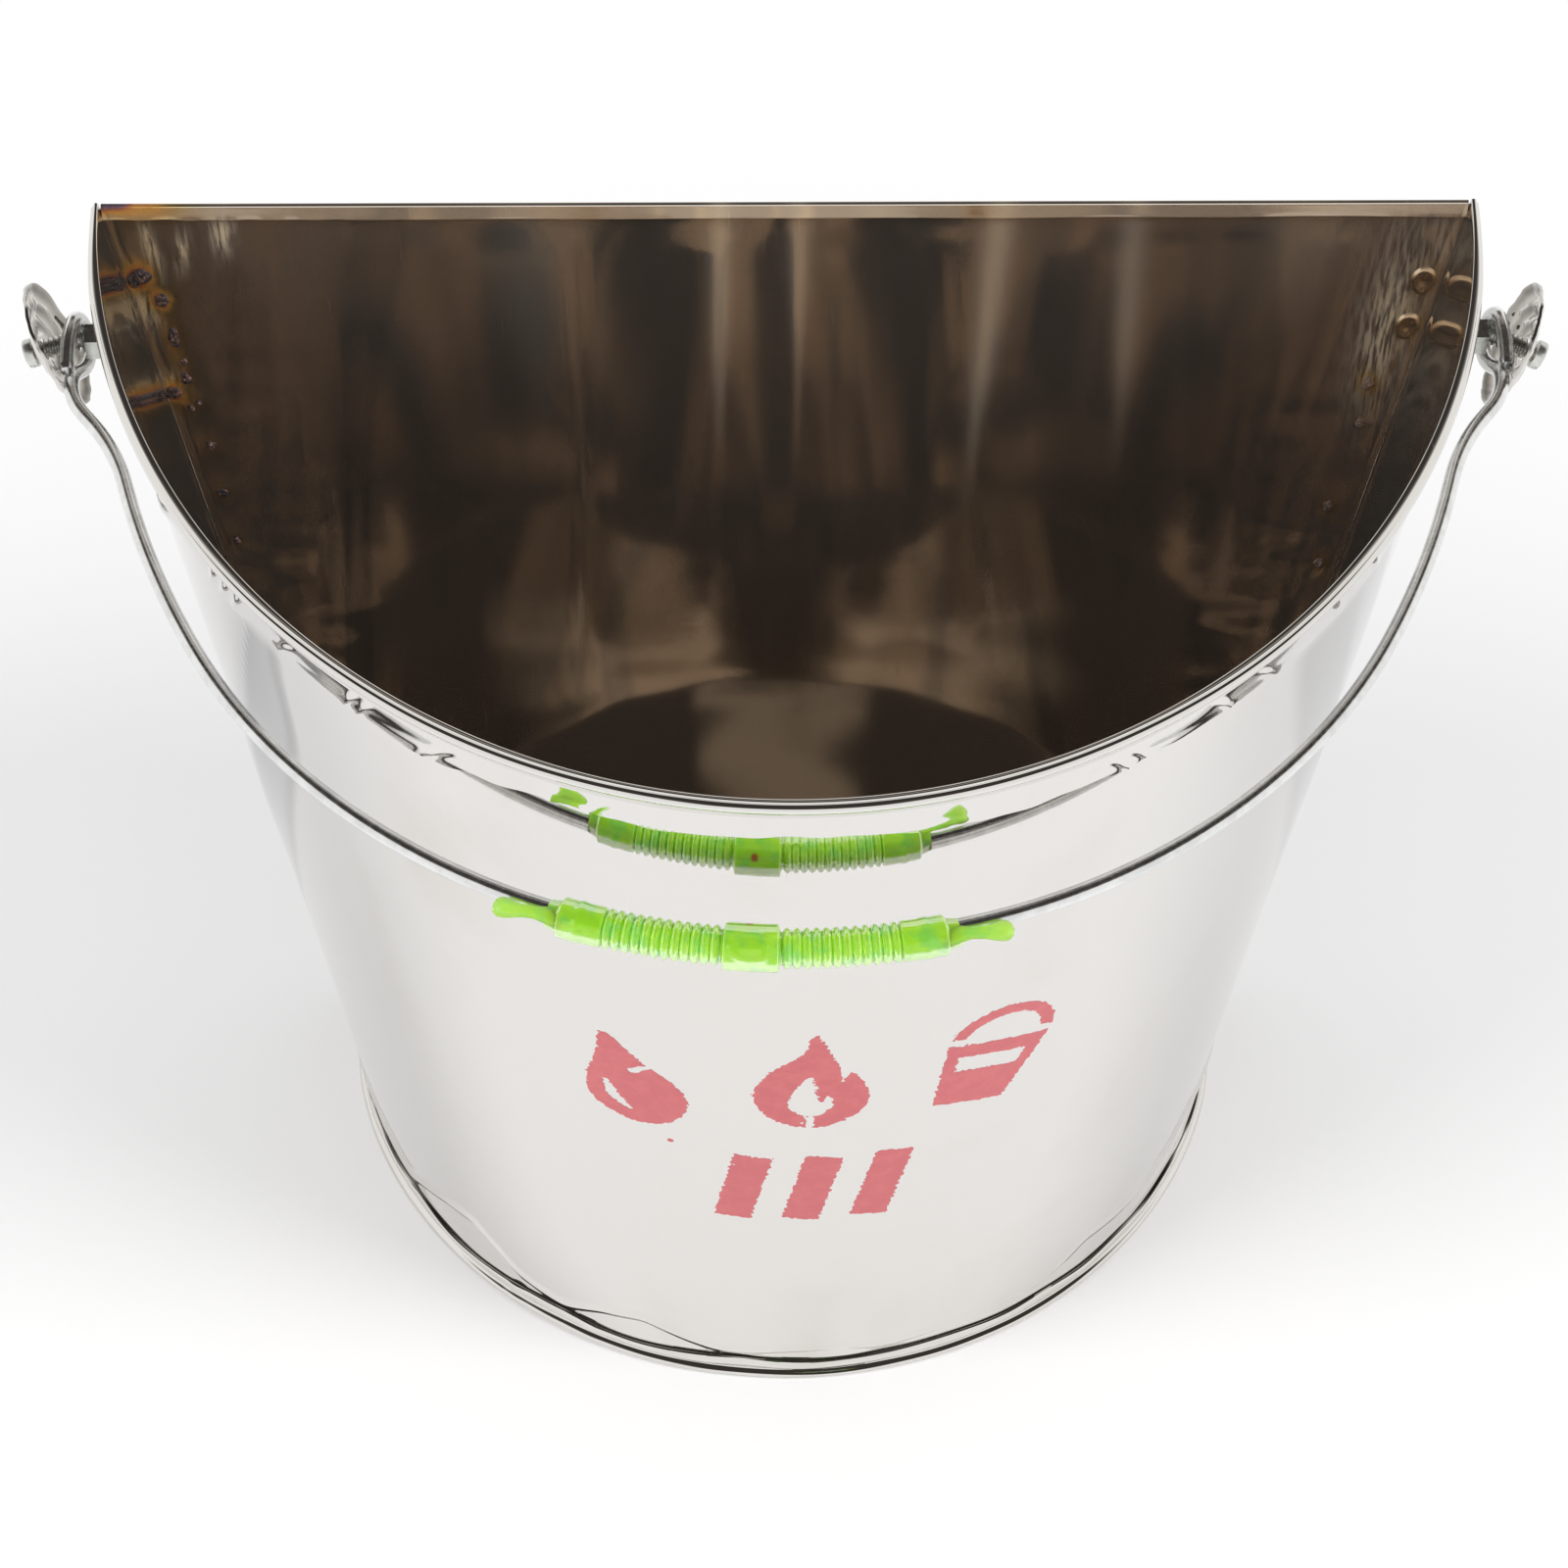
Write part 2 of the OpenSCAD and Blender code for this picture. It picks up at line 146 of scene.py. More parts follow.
# %% Smooth noise
def waves(x, seed, length, count=6):
    """Smooth noise between about -1 and 1 along x; length is its typical wave."""
    r = np.random.RandomState(seed)
    total = 0 * x
    for _ in range(count):
        total = total + np.sin(x * 2 * pi / (length * r.uniform(0.6, 2.2)) + r.uniform(0, 6.28))
    return total / sqrt(count)


def dents(x, z, seed, length_x, length_z, count=10):
    """The same over a sheet, with its own typical wave in each direction."""
    r = np.random.RandomState(seed)
    total = 0 * x + 0 * z
    for _ in range(count):
        kx, kz = r.normal(0, 1 / length_x), r.normal(0, 1 / length_z)
        total = total + np.sin(2 * pi * (x * kx + z * kz) + r.uniform(0, 6.28))
    return total / sqrt(count)


def step(x, low, high):
    """0 below low, 1 above high, smooth between."""
    t = np.clip((x - low) / (high - low), 0, 1)
    return t * t * (3 - 2 * t)


def bump(x, width):
    return np.exp(-(x / width) ** 2)


# %% Lines and angles
def smooth_line(points, n):
    """A smooth line with n points through the given ones."""
    p = np.array(points, float)
    p = np.vstack([2 * p[0] - p[1], p, 2 * p[-1] - p[-2]])
    t = np.linspace(0, len(p) - 3, n)
    i = np.minimum(t.astype(int), len(p) - 4)
    f = (t - i)[:, None]
    a, b, c, d = p[i], p[i + 1], p[i + 2], p[i + 3]
    return 0.5 * (2 * b + (c - a) * f + (2 * a - 5 * b + 4 * c - d) * f**2
                  + (3 * b - a - 3 * c + d) * f**3)


def lengths_along(points):
    """Length of a line from its first point to each point."""
    return np.concatenate([[0], np.cumsum(np.linalg.norm(np.diff(points, axis=0), axis=1))])


def circle(n):
    """Angles evenly round a circle."""
    return np.linspace(0, 2 * pi, n, endpoint=False)


def wrapped(angle):
    """The same angle between minus and plus half a turn."""
    return (angle + pi) % (2 * pi) - pi


def looked_up(x, pairs):
    """Value at x on straight lines between pairs of a place and its value."""
    return np.interp(x, *np.array(pairs).T)


# %% [markdown]
# ## Turning rings of points into a mesh
# A sheet, a wire and a sleeve are all skins over a row of rings. Each ring has the same number of
# points, so the faces are a simple grid. Giving the mesh its coordinates in one go keeps large grids
# quick. Numbers stored on the points, such as how hot a spot became, can steer a material later.

# %% Mesh helpers
def grid_faces(rings, points, ring_loop=False, point_loop=True):
    i = np.arange(rings if ring_loop else rings - 1)[:, None]
    j = np.arange(points if point_loop else points - 1)[None, :]
    k, m = (i + 1) % rings, (j + 1) % points
    corners = [i * points + j, k * points + j, k * points + m, i * points + m]
    return np.stack(np.broadcast_arrays(*corners), -1).reshape(-1, 4)


def skin(rings, flip=True, ring_loop=False):
    """Faces over a row of closed rings; both ends are closed too, unless the row is a loop."""
    count, points = rings.shape[:2]
    turn = -1 if flip else 1
    faces = [grid_faces(count, points, ring_loop)[:, ::turn]]
    if not ring_loop:
        end = np.arange(points)
        faces += [list(end[::turn]), list(((count - 1) * points + end)[::-turn])]
    return faces


def make_piece(name, points, faces, materials, sharp=40, numbers=None):
    """A mesh from points in millimetres; faces are rows of four corners or lists of any length."""
    co = np.array(points, float).reshape(-1, 3) + [0, shift_y, 0]
    loops = np.concatenate([np.asarray(f, int).ravel() for f in faces])
    counts = np.concatenate([np.full(len(f), f.shape[1]) if np.ndim(f) == 2 else [len(f)]
                             for f in faces])
    starts = np.concatenate([[0], np.cumsum(counts)[:-1]])
    mesh = bpy.data.meshes.new(name)
    for part, size, label, values in ((mesh.vertices, len(co), "co", np.float32(co * MM)),
                                      (mesh.loops, len(loops), "vertex_index", np.int32(loops)),
                                      (mesh.polygons, len(counts), "loop_start", np.int32(starts))):
        part.add(size)
        part.foreach_set(label, values.ravel())
    mesh.update(calc_edges=True)
    mesh.validate()
    mesh.polygons.foreach_set("use_smooth", np.ones(len(counts), bool))
    mesh.set_sharp_from_angle(angle=radians(sharp))
    for key, values in (numbers or {}).items():
        attribute = mesh.attributes.new(key, "FLOAT", "POINT")
        attribute.data.foreach_set("value", np.asarray(values, np.float32).ravel())
    piece = bpy.data.objects.new(name, mesh)
    bpy.context.scene.collection.objects.link(piece)
    for material in materials:
        mesh.materials.append(material)
    print(f"{name}: {len(co)} points, {len(counts)} faces")
    return piece


def fit(piece, body, slot, *nodes):
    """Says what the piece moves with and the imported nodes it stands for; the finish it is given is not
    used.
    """
    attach(piece, body)
    if nodes:
        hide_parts(*nodes)


def chosen(pieces):
    """Selects just these pieces, the first one active, for one of Blender's own tools."""
    for other in bpy.context.selected_objects:
        other.select_set(False)
    for piece in pieces:
        piece.select_set(True)
    bpy.context.view_layer.objects.active = pieces[0]


def join(name, pieces):
    """Several meshes made into one piece."""
    chosen(pieces)
    bpy.ops.object.join()
    pieces[0].name = name
    return pieces[0]


# %% [markdown]
# ## Effects that several finishes share
# Polished steel is mostly what it mirrors. What makes it look real are small things on top: hairline
# scratches, greasy smudges and a little unevenness. Each is a node group with its own inputs, placed
# in every material that needs it, so one change improves all of them.

# %% Node helpers
class Nodes:
    """Short ways to add and join nodes in one tree."""

    def __init__(self, tree):
        self.tree = tree

    def add(self, kind, values=None, **settings):
        node = self.tree.nodes.new("ShaderNode" + kind)
        for key, value in settings.items():
            setattr(node, key, value)
        for key, value in (values or {}).items():
            self.put(value, node.inputs[key])
        return node

    def put(self, value, socket):
        if isinstance(value, bpy.types.NodeSocket):
            self.tree.links.new(value, socket)
        else:
            socket.default_value = value

    def feed(self, shader, **values):
        for label, value in values.items():
            self.put(value, shader.inputs[label.replace("_", " ")])

    def math(self, operation, a, b=0.0, c=0.0):
        return self.add("Math", {0: a, 1: b, 2: c}, operation=operation).outputs[0]

    def times(self, a, b):
        return self.math("MULTIPLY", a, b)

    def line(self, value, by, plus):
        """The value times one number plus another."""
        return self.math("MULTIPLY_ADD", value, by, plus)

    def range(self, value, low, high, to_low=0.0, to_high=1.0):
        values = {"Value": value, "From Min": low, "From Max": high, "To Min": to_low, "To Max": to_high}
        return self.add("MapRange", values, interpolation_type="SMOOTHSTEP").outputs[0]

    def place(self, scale=None):
        """Coordinates on the object, stretched if a scale is given."""
        place = self.add("TexCoord").outputs["Object"]
        return self.add("Mapping", {"Vector": place, "Scale": scale}).outputs[0] if scale else place

    def stored(self, name):
        """A number stored on the mesh's points."""
        return self.add("Attribute", attribute_name=name).outputs["Fac"]

    def noise(self, place, scale, detail=2.0, rough=0.5):
        values = {"Vector": place, "Scale": scale, "Detail": detail, "Roughness": rough}
        return self.add("TexNoise", values).outputs["Fac"]

    def mix(self, factor, a, b, blend="MIX"):
        node = self.add("Mix", data_type="RGBA", blend_type=blend)
        for value, socket in ((factor, 0), (a, 6), (b, 7)):
            self.put(value, node.inputs[socket])
        return node.outputs[2]

    def ramp(self, factor, stops):
        node = self.add("ValToRGB", {"Fac": factor})
        ramp = node.color_ramp
        ramp.elements[0].position, ramp.elements[1].position = stops[0][0], stops[-1][0]
        for place, _ in stops[1:-1]:
            ramp.elements.new(place)
        for element, (_, colour) in zip(ramp.elements, stops):
            element.color = (*colour[:3], 1)
        return node.outputs[0]

    def bump(self, height, strength, distance):
        return self.add("Bump", {"Height": height, "Strength": strength, "Distance": distance}).outputs[0]

    def group(self, group, output):
        node = self.add("Group")
        node.node_tree = group
        return node.outputs[output]


def new_group(name, output, **inputs):
    """A node group with number inputs and one output: itself, its nodes, its inputs and its end."""
    group = bpy.data.node_groups.new(name, "ShaderNodeTree")
    for label, value in inputs.items():
        socket = group.interface.new_socket(label, in_out="INPUT", socket_type="NodeSocketFloat")
        socket.default_value = value
    group.interface.new_socket(output, in_out="OUTPUT", socket_type="NodeSocketFloat")
    inside = group.nodes.new("NodeGroupInput").outputs
    return group, Nodes(group), inside, group.nodes.new("NodeGroupOutput").inputs[output]


# %% Hairline scratches
scratches, n, inside, end = new_group("hairlines", "Mask", Scale=1.0, Amount=1.0)
lines = None
for turn, seed in ((0.4, 3.0), (-0.9, 11.0), (1.3, 23.0)):
    values = {"Vector": n.place(), "Rotation": (turn, turn * 0.7, turn * 1.3),
              "Location": (seed, seed, 0), "Scale": (2600, 60, 60)}
    spun = n.add("Mapping", values).outputs[0]
    line = n.range(n.noise(spun, inside["Scale"], 1.0), 0.70, 0.80)
    lines = line if lines is None else n.math("MAXIMUM", lines, line)
patchy = n.range(n.noise(n.place(), 18.0, 2.0), 0.42, 0.6)
n.put(n.times(n.times(lines, patchy), inside["Amount"]), end)

# %% Greasy smudges
smudges, n, inside, end = new_group("smudges", "Mask", Scale=9.0, Amount=1.0)
cloud = n.range(n.noise(n.place(), inside["Scale"], 5.0, 0.6), 0.45, 0.72)
wiped = n.range(n.noise(n.place((40, 40, 6)), 1.0, 3.0), 0.3, 0.7)
n.put(n.times(n.times(cloud, wiped), inside["Amount"]), end)

# %% Slight waves left by the rolls
roll_waves, n, inside, end = new_group("roll_waves", "Height", Scale=30.0, Height=1.0)
tall = n.noise(n.place((1.0, 1.0, 0.12)), inside["Scale"], 2.0, 0.4)
fine = n.noise(n.place((1.0, 1.0, 0.2)), 160.0, 1.0)
n.put(n.times(n.line(fine, 0.15, tall), inside["Height"]), end)

# %% [markdown]
# ## The finishes
# Every material uses one Principled shader. Colours are written as the photograph's eye sees them and
# turned into linear light once, by one helper.

# %% Colours and materials
def seen(red, green, blue):
    """A colour as seen on a screen, 0 to 255, as linear light."""
    def linear(c):
        c = c / 255
        return c / 12.92 if c <= 0.04045 else ((c + 0.055) / 1.055) ** 2.4
    return (linear(red), linear(green), linear(blue), 1.0)


def new_material(name, **constants):
    """A material with its nodes and its shader, whose own sockets hold the constants."""
    material = bpy.data.materials.new(name)
    material.use_nodes = True
    shader = material.node_tree.nodes["Principled BSDF"]
    n = Nodes(material.node_tree)
    n.feed(shader, **constants)
    return material, n, shader


# %% Steel sheet
HAZE = 0.965    # a little dust and haze, so the inside never turns quite black


def steel(name, clean, stained, gloss, wave_height, shine=1.0, tint=None, painted_dark=(150, 150, 152)):
    """Polished sheet: two close colours, smudges and hairlines in the gloss, slight waves, and a painted
    dark reflection where the mesh stores one.
    """
    material, n, shader = new_material(name, Metallic=shine)
    smudge, hairs = n.group(smudges, "Mask"), n.group(scratches, "Mask")
    # The stored number mixes in a painted dark reflection: the colour the steel would show if it mirrored
    # a darker place.
    colour = n.mix(n.stored("painted_reflection"), n.mix(smudge, clean, stained), seen(*painted_dark))
    rough = n.line(hairs, 0.12, n.line(smudge, 0.08, gloss))
    if tint:
        colour, rough, shine = tint(n, colour, rough)
        n.feed(shader, Metallic=shine)
    rolls = n.bump(n.group(roll_waves, "Height"), 1.0, wave_height)
    n.feed(shader, Base_Color=colour, Roughness=rough, Normal=rolls)
    return material


def heat_tint(n, colour, rough):
    """Straw, brown and blue where the sheet was hot, by the numbers stored on its points, with worn
    patches and painted bright reflection streaks.
    """
    uneven = n.range(n.noise(n.place(), 220.0, 4.0, 0.65), 0.2, 0.7, 0.55, 1.2)
    heat = n.times(n.stored("scorch"), uneven)    # Blender keeps the name "heat" for smoke
    # Painted bright reflection streaks: they lighten the colour and lower the shine a little.
    streaks = n.stored("painted_streak")
    brushed = n.range(n.noise(n.place((900, 60, 120)), 1.0, 3.0, 0.6), 0.35, 0.62)
    worn = n.times(n.stored("worn"), brushed)
    colour = n.mix(worn, n.mix(streaks, colour, seen(255, 241, 218)), seen(236, 214, 176))
    tint = n.ramp(heat, [(0.0, (1, 1, 1)), (0.15, (1.0, 0.88, 0.6)), (0.36, (1.0, 0.6, 0.2)),
                         (0.6, (0.6, 0.24, 0.1)), (0.8, (0.22, 0.13, 0.2)), (1.0, (0.1, 0.1, 0.13))])
    shine = n.line(streaks, -0.12, n.line(n.range(heat, 0.15, 0.6), -0.5, HAZE))
    rough = n.line(n.range(heat, 0.3, 1.0), 0.35, n.line(worn, 0.25, rough))
    return n.mix(1.0, colour, tint, "MULTIPLY"), rough, n.line(worn, -0.55, shine)


steel_bright = steel("polished_steel", seen(225, 223, 220), seen(216, 213, 208), 0.035, 0.00006)
# The cup's darker colour is the painted dark reflection in its hollow.
steel_cup = steel("cup_steel", seen(214, 211, 206), seen(196, 192, 186), 0.08, 0.00008,
                  painted_dark=(96, 92, 86))
steel_inner = steel("inner_steel", seen(221, 213, 204), seen(213, 204, 193), 0.06, 0.00005, HAZE)
steel_panel = steel("panel_steel", seen(218, 210, 200), seen(210, 201, 189), 0.05, 0.00005,
                    tint=heat_tint)

# %% Weld spots
weld_tint, n, shader = new_material("weld_scale")
crust, burnt = n.noise(n.place(), 900.0, 4.0, 0.7), n.stored("burnt")
clean_weld = n.mix(crust, seen(196, 172, 140), seen(226, 206, 180))
rusty_weld = n.ramp(crust, [(0.36, seen(34, 32, 35)), (0.5, seen(92, 86, 88)),
                            (0.6, seen(152, 104, 90)), (0.7, seen(214, 200, 190))])
grit = n.times(crust, n.line(burnt, 0.9, 0.1))
n.feed(shader, Base_Color=n.mix(burnt, clean_weld, rusty_weld), Metallic=n.line(burnt, -0.6, 0.95),
       Roughness=n.line(burnt, 0.2, n.range(crust, 0.2, 0.8, 0.1, 0.3)),
       Normal=n.bump(grit, 0.8, 0.0004))


# %% Zinc and galvanised wire
def zinc(name, light, dark, gloss, grain, depth):
    """Plated steel: a cloudy crystal colour and a drawn or tumbled grain."""
    material, n, shader = new_material(name, Metallic=1.0)
    cloud = n.noise(n.place(), grain * 0.25, 4.0, 0.6)
    pits = n.noise(n.place(), grain, 3.0, 0.6)
    n.feed(shader, Base_Color=n.mix(n.range(cloud, 0.3, 0.7), dark, light),
           Roughness=n.range(pits, 0.2, 0.8, gloss - 0.05, gloss + 0.1),
           Normal=n.bump(pits, 0.4, depth))
    return material


zinc_fastener = zinc("zinc_plate", seen(225, 226, 222), seen(186, 187, 182), 0.26, 700.0, 0.0001)
galvanised = zinc("galvanised_wire", seen(236, 237, 237), seen(218, 219, 219), 0.17, 900.0, 0.00001)

# %% Green vinyl
vinyl, n, shader = new_material("green_vinyl", IOR=1.5, Subsurface_Weight=0.6, Subsurface_Scale=0.003,
                                Subsurface_Radius=(0.8, 1.0, 0.25), Transmission_Weight=0.4)
cloud = n.noise(n.place(), 90.0, 4.0, 0.6)
flow = n.noise(n.place((1, 0.3, 1)), 300.0, 3.0)
green = n.mix(n.range(cloud, 0.3, 0.7), seen(160, 220, 44), seen(180, 232, 74))
green = n.mix(n.range(n.noise(n.place(), 260.0, 2.0), 0.48, 0.66, 0.0, 0.55), green, seen(122, 210, 104))
# Painted paler colour towards the thin tongue tips, for light shining through the vinyl there.
green = n.mix(n.times(n.stored("thin"), 0.6), green, seen(204, 242, 120))
rust = n.range(n.times(n.stored("rust"), cloud), 0.12, 0.4)
n.feed(shader, Base_Color=n.mix(rust, green, seen(176, 92, 40)),
       Roughness=n.range(flow, 0.3, 0.7, 0.08, 0.2), Normal=n.bump(flow, 0.3, 0.0003))

# %% Stencil paint
red_paint, n, shader = new_material("stencil_paint")
mottle = n.noise(n.place(), 240.0, 5.0, 0.65)
n.feed(shader, Base_Color=n.mix(n.range(mottle, 0.35, 0.7), seen(198, 92, 98), seen(208, 110, 112)),
       Roughness=n.range(mottle, 0.3, 0.7, 0.4, 0.6), Normal=n.bump(mottle, 0.4, 0.0002))
print("materials:", [m.name for m in bpy.data.materials])

# %% [markdown]
# ## Front wall
# On the real bucket this is one sheet. Its edge is rolled into a bead and folded down outside as a
# hem, with a few pleats where the curve left the fold too long. It could be a simple shell with a
# separate rim, but then the fold would never look like sheet metal. So the section of the wall runs
# all the way round both sides of the sheet, and is swept along the curve.

# %% Pleats in the hem: station, how far each stands out, how wide, and how it slants
PLEATS = [(0.838, 2.2, 3.6, 0.5), (0.79, 0.9, 1.1, 0.6), (0.781, 1.0, 1.1, 0.6), (0.772, 0.8, 1.1, 0.6),
          (0.738, 0.7, 1.6, 1.1), (0.700, 0.8, 1.0, 0.7), (0.692, 0.7, 1.0, 0.7), (0.652, 0.6, 1.4, 1.2),
          (0.602, 0.7, 1.2, 0.3), (0.582, 0.5, 1.2, 0.8), (0.470, 0.25, 4, 0.2), (0.400, 0.25, 4, 0.2),
          (0.362, 0.8, 1.2, -0.8), (0.352, 0.6, 1.0, -0.8), (0.308, 0.9, 1.1, -0.9),
          (0.283, 0.8, 1.3, -1.1), (0.236, 0.6, 1.5, -0.8), (0.205, 0.8, 1.4, -0.7)]

# Stations along the curve, closer together at the sharp pleats, and the wall's length to each
close = np.linspace(-0.006, 0.006, 29)
sharp_pleats = [at + close for at, _, width, _ in PLEATS if width < 4]
stations = np.unique(np.round(np.concatenate([np.linspace(0, 1, 641)] + sharp_pleats), 5))
lengths = lengths_along(wall_at(stations, 0, 260))
arc = lengths - lengths[-1] / 2
print("length of the wall near the rim, mm:", round(lengths[-1], 1))


def arc_at(s):
    """Length along the wall from its middle to station s."""
    return np.interp(s, stations, arc)


def hem_edge(a):
    """Depth of the hem's ragged lower edge."""
    depth = HEM_DEPTH + 0.9 * waves(a, 5, 70) + 0.35 * waves(a, 6, 14)
    for at, out, width, _ in PLEATS:
        depth = depth + 0.7 * out * bump(a - arc_at(at), width * 2.5)
    return np.clip(depth, 9.0, 15.0)


def pleated(a, v):
    """How far the hem stands out at depth v below the rim."""
    total = 0.04 * waves(a, 7, 34) * step(v, 4.5, 9) + 0.08 * step(v, 8.5, 11.5)
    for at, out, width, slant in PLEATS:
        ridge = bump(a - arc_at(at) - slant * (v - 8), 1.15 * width)
        total = total + 0.42 * out * ridge * step(v, 4.6, 9.0)
    return np.clip(total, -0.25, 3.0)


# %% The flared foot of the wall: station and height of the wavy crease above it
FLARE_AT = [(0, 26), (0.08, 28), (0.164, 31), (0.186, 29), (0.197, 24.5), (0.221, 21.4), (0.249, 20),
            (0.29, 22), (0.31, 15.4), (0.33, 12), (0.348, 13.7), (0.379, 13), (0.409, 11.8), (0.441, 10),
            (0.468, 12.9), (0.507, 12.1), (0.53, 10.1), (0.548, 10.9), (0.567, 14.4), (0.594, 20.8),
            (0.624, 17.3), (0.652, 10.5), (0.669, 12.2), (0.687, 14.7), (0.703, 22), (0.722, 29),
            (0.749, 26), (0.775, 20), (0.798, 13.3), (0.826, 20), (0.859, 21), (0.93, 24), (1, 24)]
LIP_AT = [(0, 0.5), (0.2, 0.8), (0.28, 0.5), (0.32, 0.15), (0.4, 0.2), (0.52, 0.3), (0.6, 0.7),
          (0.85, 0.85), (1, 0.5)]
flare_s = np.linspace(0, 1, 721)
flare_top = np.convolve(np.pad(looked_up(flare_s, FLARE_AT), 4, "edge"), np.ones(9) / 9, "valid")


def flare(s, z):
    """How far the foot of the wall stands out, with a small lip along the crease."""
    top = np.interp(s, flare_s, flare_top)
    amount = step(s, 0.02, 0.12) * (1 - step(s, 0.90, 0.98))
    below = np.clip((top - z) / top, 0, 1)
    return amount * (1.25 * below**1.25 + looked_up(s, LIP_AT) * bump(z - top, 1.7))


# %% Dents, the flats from the bending brake, and painted dark reflections beside its creases
def brake_lines(a, deep):
    """Distance from the two slanting creases, at this depth below the rim."""
    return a - arc_at(0.80) - (deep - 40) * 0.50, a - arc_at(0.19) + (deep - 40) * 0.42


def buckle(s, a, z, rim_z):
    """Uneven sheet: the flared foot, long shallow waves and faint creases from the brake."""
    left, right = brake_lines(a, rim_z - z)
    free = step(z, 12, 60) * (1 - step(z, rim_z - 40, rim_z - 10))
    creases = 0
    for off, width, high in ((left, 16, 0.55), (right, 14, 0.35)):
        creases = creases + high * np.clip(1 - np.sqrt(off**2 + 0.4) / width, 0, 1) ** 1.5
    return flare(s, z) + free * (0.10 * dents(a, z, 21, 110, 320) + creases * step(z, 60, 120))


def painted_reflection_at(a, z, rim_z):
    """Painted dark reflection in bands beside the two slanting creases, over the flats the brake left,
    darker than the curve beside them.
    """
    deep = rim_z - z
    left, right = brake_lines(a, deep)
    width = 13 + 13 * step(deep, 12, 60)
    share = np.clip((left + 3 + width) / width, 0, 1)
    shade = step(left, -4 - width, -2.6 - width) * (1 - step(left, -3.8, -2.6)) * (0.42 + 0.5 * share)
    shade = shade + 0.3 * bump(left + width, 2.2)
    shade = shade + 0.5 * step(left, -3.2, -2.2) * np.exp(-np.clip(left + 3, 0, 90) / 9)
    shade = shade + 0.5 * step(right, -22, -20) * (1 - step(right, 22, 32))
    return np.clip(shade, 0, 1) * step(deep, 12, 20) * (1 - 0.5 * step(deep, 170, 240))


# %% Section of the wall at every station
s, a = stations, arc
rim_z = rim_at(s)[:, 2]
edge = hem_edge(a)
off_front = np.abs(s - 0.5)
band = 1.15 + 0.75 * step(off_front, 0.12, 0.36) - 0.7 * step(off_front, 0.44, 0.5)
band = band + 0.08 * waves(a, 8, 60)
# The bead: outward, how much of the band's width is added to that, and down from the rim
BEAD_LINE = [(0, 0, 1.3), (0, 0, 0.9), (0.05, 0, 0.3), (0.3, 0, 0.04), (-0.30, 1, 0), (0, 1, 0.16),
             (0.10, 1, 0.5), (0.06, 1, 0.74), (0.26, 1, 0.92), (0.72, 1, 1.08), (1.08, 1, 1.5),
             (1.24, 1, 2.2), (1.12, 1, 2.95), (0.80, 1, 3.5), (0.44, 0.8, 3.95), (HEM_OUT, 0, 4.6)]
rolled = smooth_line(BEAD_LINE, 61)
LOW = 36.0    # rows lie closer together below this height, where the wall flares
CORNER_IN, CORNER_AT, CORNER_WIDTH = 0.55, 3.2, 1.7    # the sheet bends in a little before each corner
inner_share = np.concatenate([np.linspace(0, 1, 20)[:-1], 1 + np.linspace(0, 1, 46)[:-1]])
outer_share = np.concatenate([np.linspace(0, 1, 66)[:-1], 1 + np.linspace(0, 1, 50)])


def heights(share, top):
    """Heights up the wall: share 0 to 1 is the foot's zone, 1 to 2 the rest."""
    return np.where(share <= 1, WALL_FOOT + share * (LOW - WALL_FOOT), LOW + (share - 1) * (top - LOW))


def wall_rows():
    """Rows of the section: how far out and how high, up the inside, over the bead and down."""
    from_end = lengths[-1] / 2 - np.abs(a)
    corner_fold = np.clip(1 - np.sqrt((from_end - CORNER_AT) ** 2 + 0.1) / CORNER_WIDTH, 0, 1)
    for t in inner_share:
        z = heights(t, rim_z - rolled[0, 2])
        yield 0.2 * (buckle(s, a, z, rim_z) - flare(s, z)) - CORNER_IN * corner_fold, z
    for u, share, v in rolled[:-1]:
        yield u + share * band, rim_z - v
    for out, top, t in ([(HEM_OUT, rolled[-1, 2], t) for t in np.linspace(0, 1, 16)]
                        + [(HEM_IN, HEM_TOP, t) for t in np.linspace(1, 0, 8)]):
        v = top + t * (edge - top)
        yield out + pleated(a, v), rim_z - v
    for t in outer_share[::-1]:
        z = heights(t, rim_z - HEM_TOP)
        yield SHEET + buckle(s, a, z, rim_z), z


rows = list(wall_rows())
u, z = (np.stack([row[k] + 0 * s for row in rows], 1) for k in (0, 1))
rings = wall_at(s[:, None] + 0 * u, u, z)
print("section rows:", len(rows), " hem depth, mm:", round(edge.min(), 1), "to", round(edge.max(), 1))

# %% [markdown]
# The two ends of the sheet turn in behind the back panel, where they are welded to it. They are seen
# only from behind. A narrow strip with a small bend at the corner is enough.

# %% Flanges behind the panel
FLANGE_WIDTH, FLANGE_LOW, FLANGE_HIGH = 16.0, 11.5, 274.0


def flange(side):
    """Closed strip: from the corner round a small bend and inward behind the panel."""
    z = np.linspace(FLANGE_LOW, FLANGE_HIGH, 60)[:, None]
    turn = np.radians(np.linspace(0, 90, 7))
    near, far = SHEET + SEAT, 2 * SHEET + SEAT
    flat = np.linspace(1.6, FLANGE_WIDTH, 10) + SHEET
    loop = [(SHEET - 1.6 * (1 - cos(t)), 0.2 + 1.25 * sin(t)) for t in turn]
    loop += [(SHEET - x, far) for x in flat] + [(SHEET - x, near) for x in flat[::-1]]
    loop += [(-0.9 * (1 - cos(t)), 0.2 + 0.55 * sin(t)) for t in turn[::-1]]
    inward, behind = np.array(loop).T
    return xyz(side * (half_at(z) + inward), behind - BACK_LEAN * (1 - z / HEIGHT), z)


def paint_columns(piece, columns, others=()):
    """Gives the second material to the faces of some columns of a grid, and to single faces."""
    slots = np.zeros(len(piece.data.polygons), np.int32)
    slots[:len(columns)] = columns
    slots[list(others)] = 1
    piece.data.polygons.foreach_set("material_index", slots)


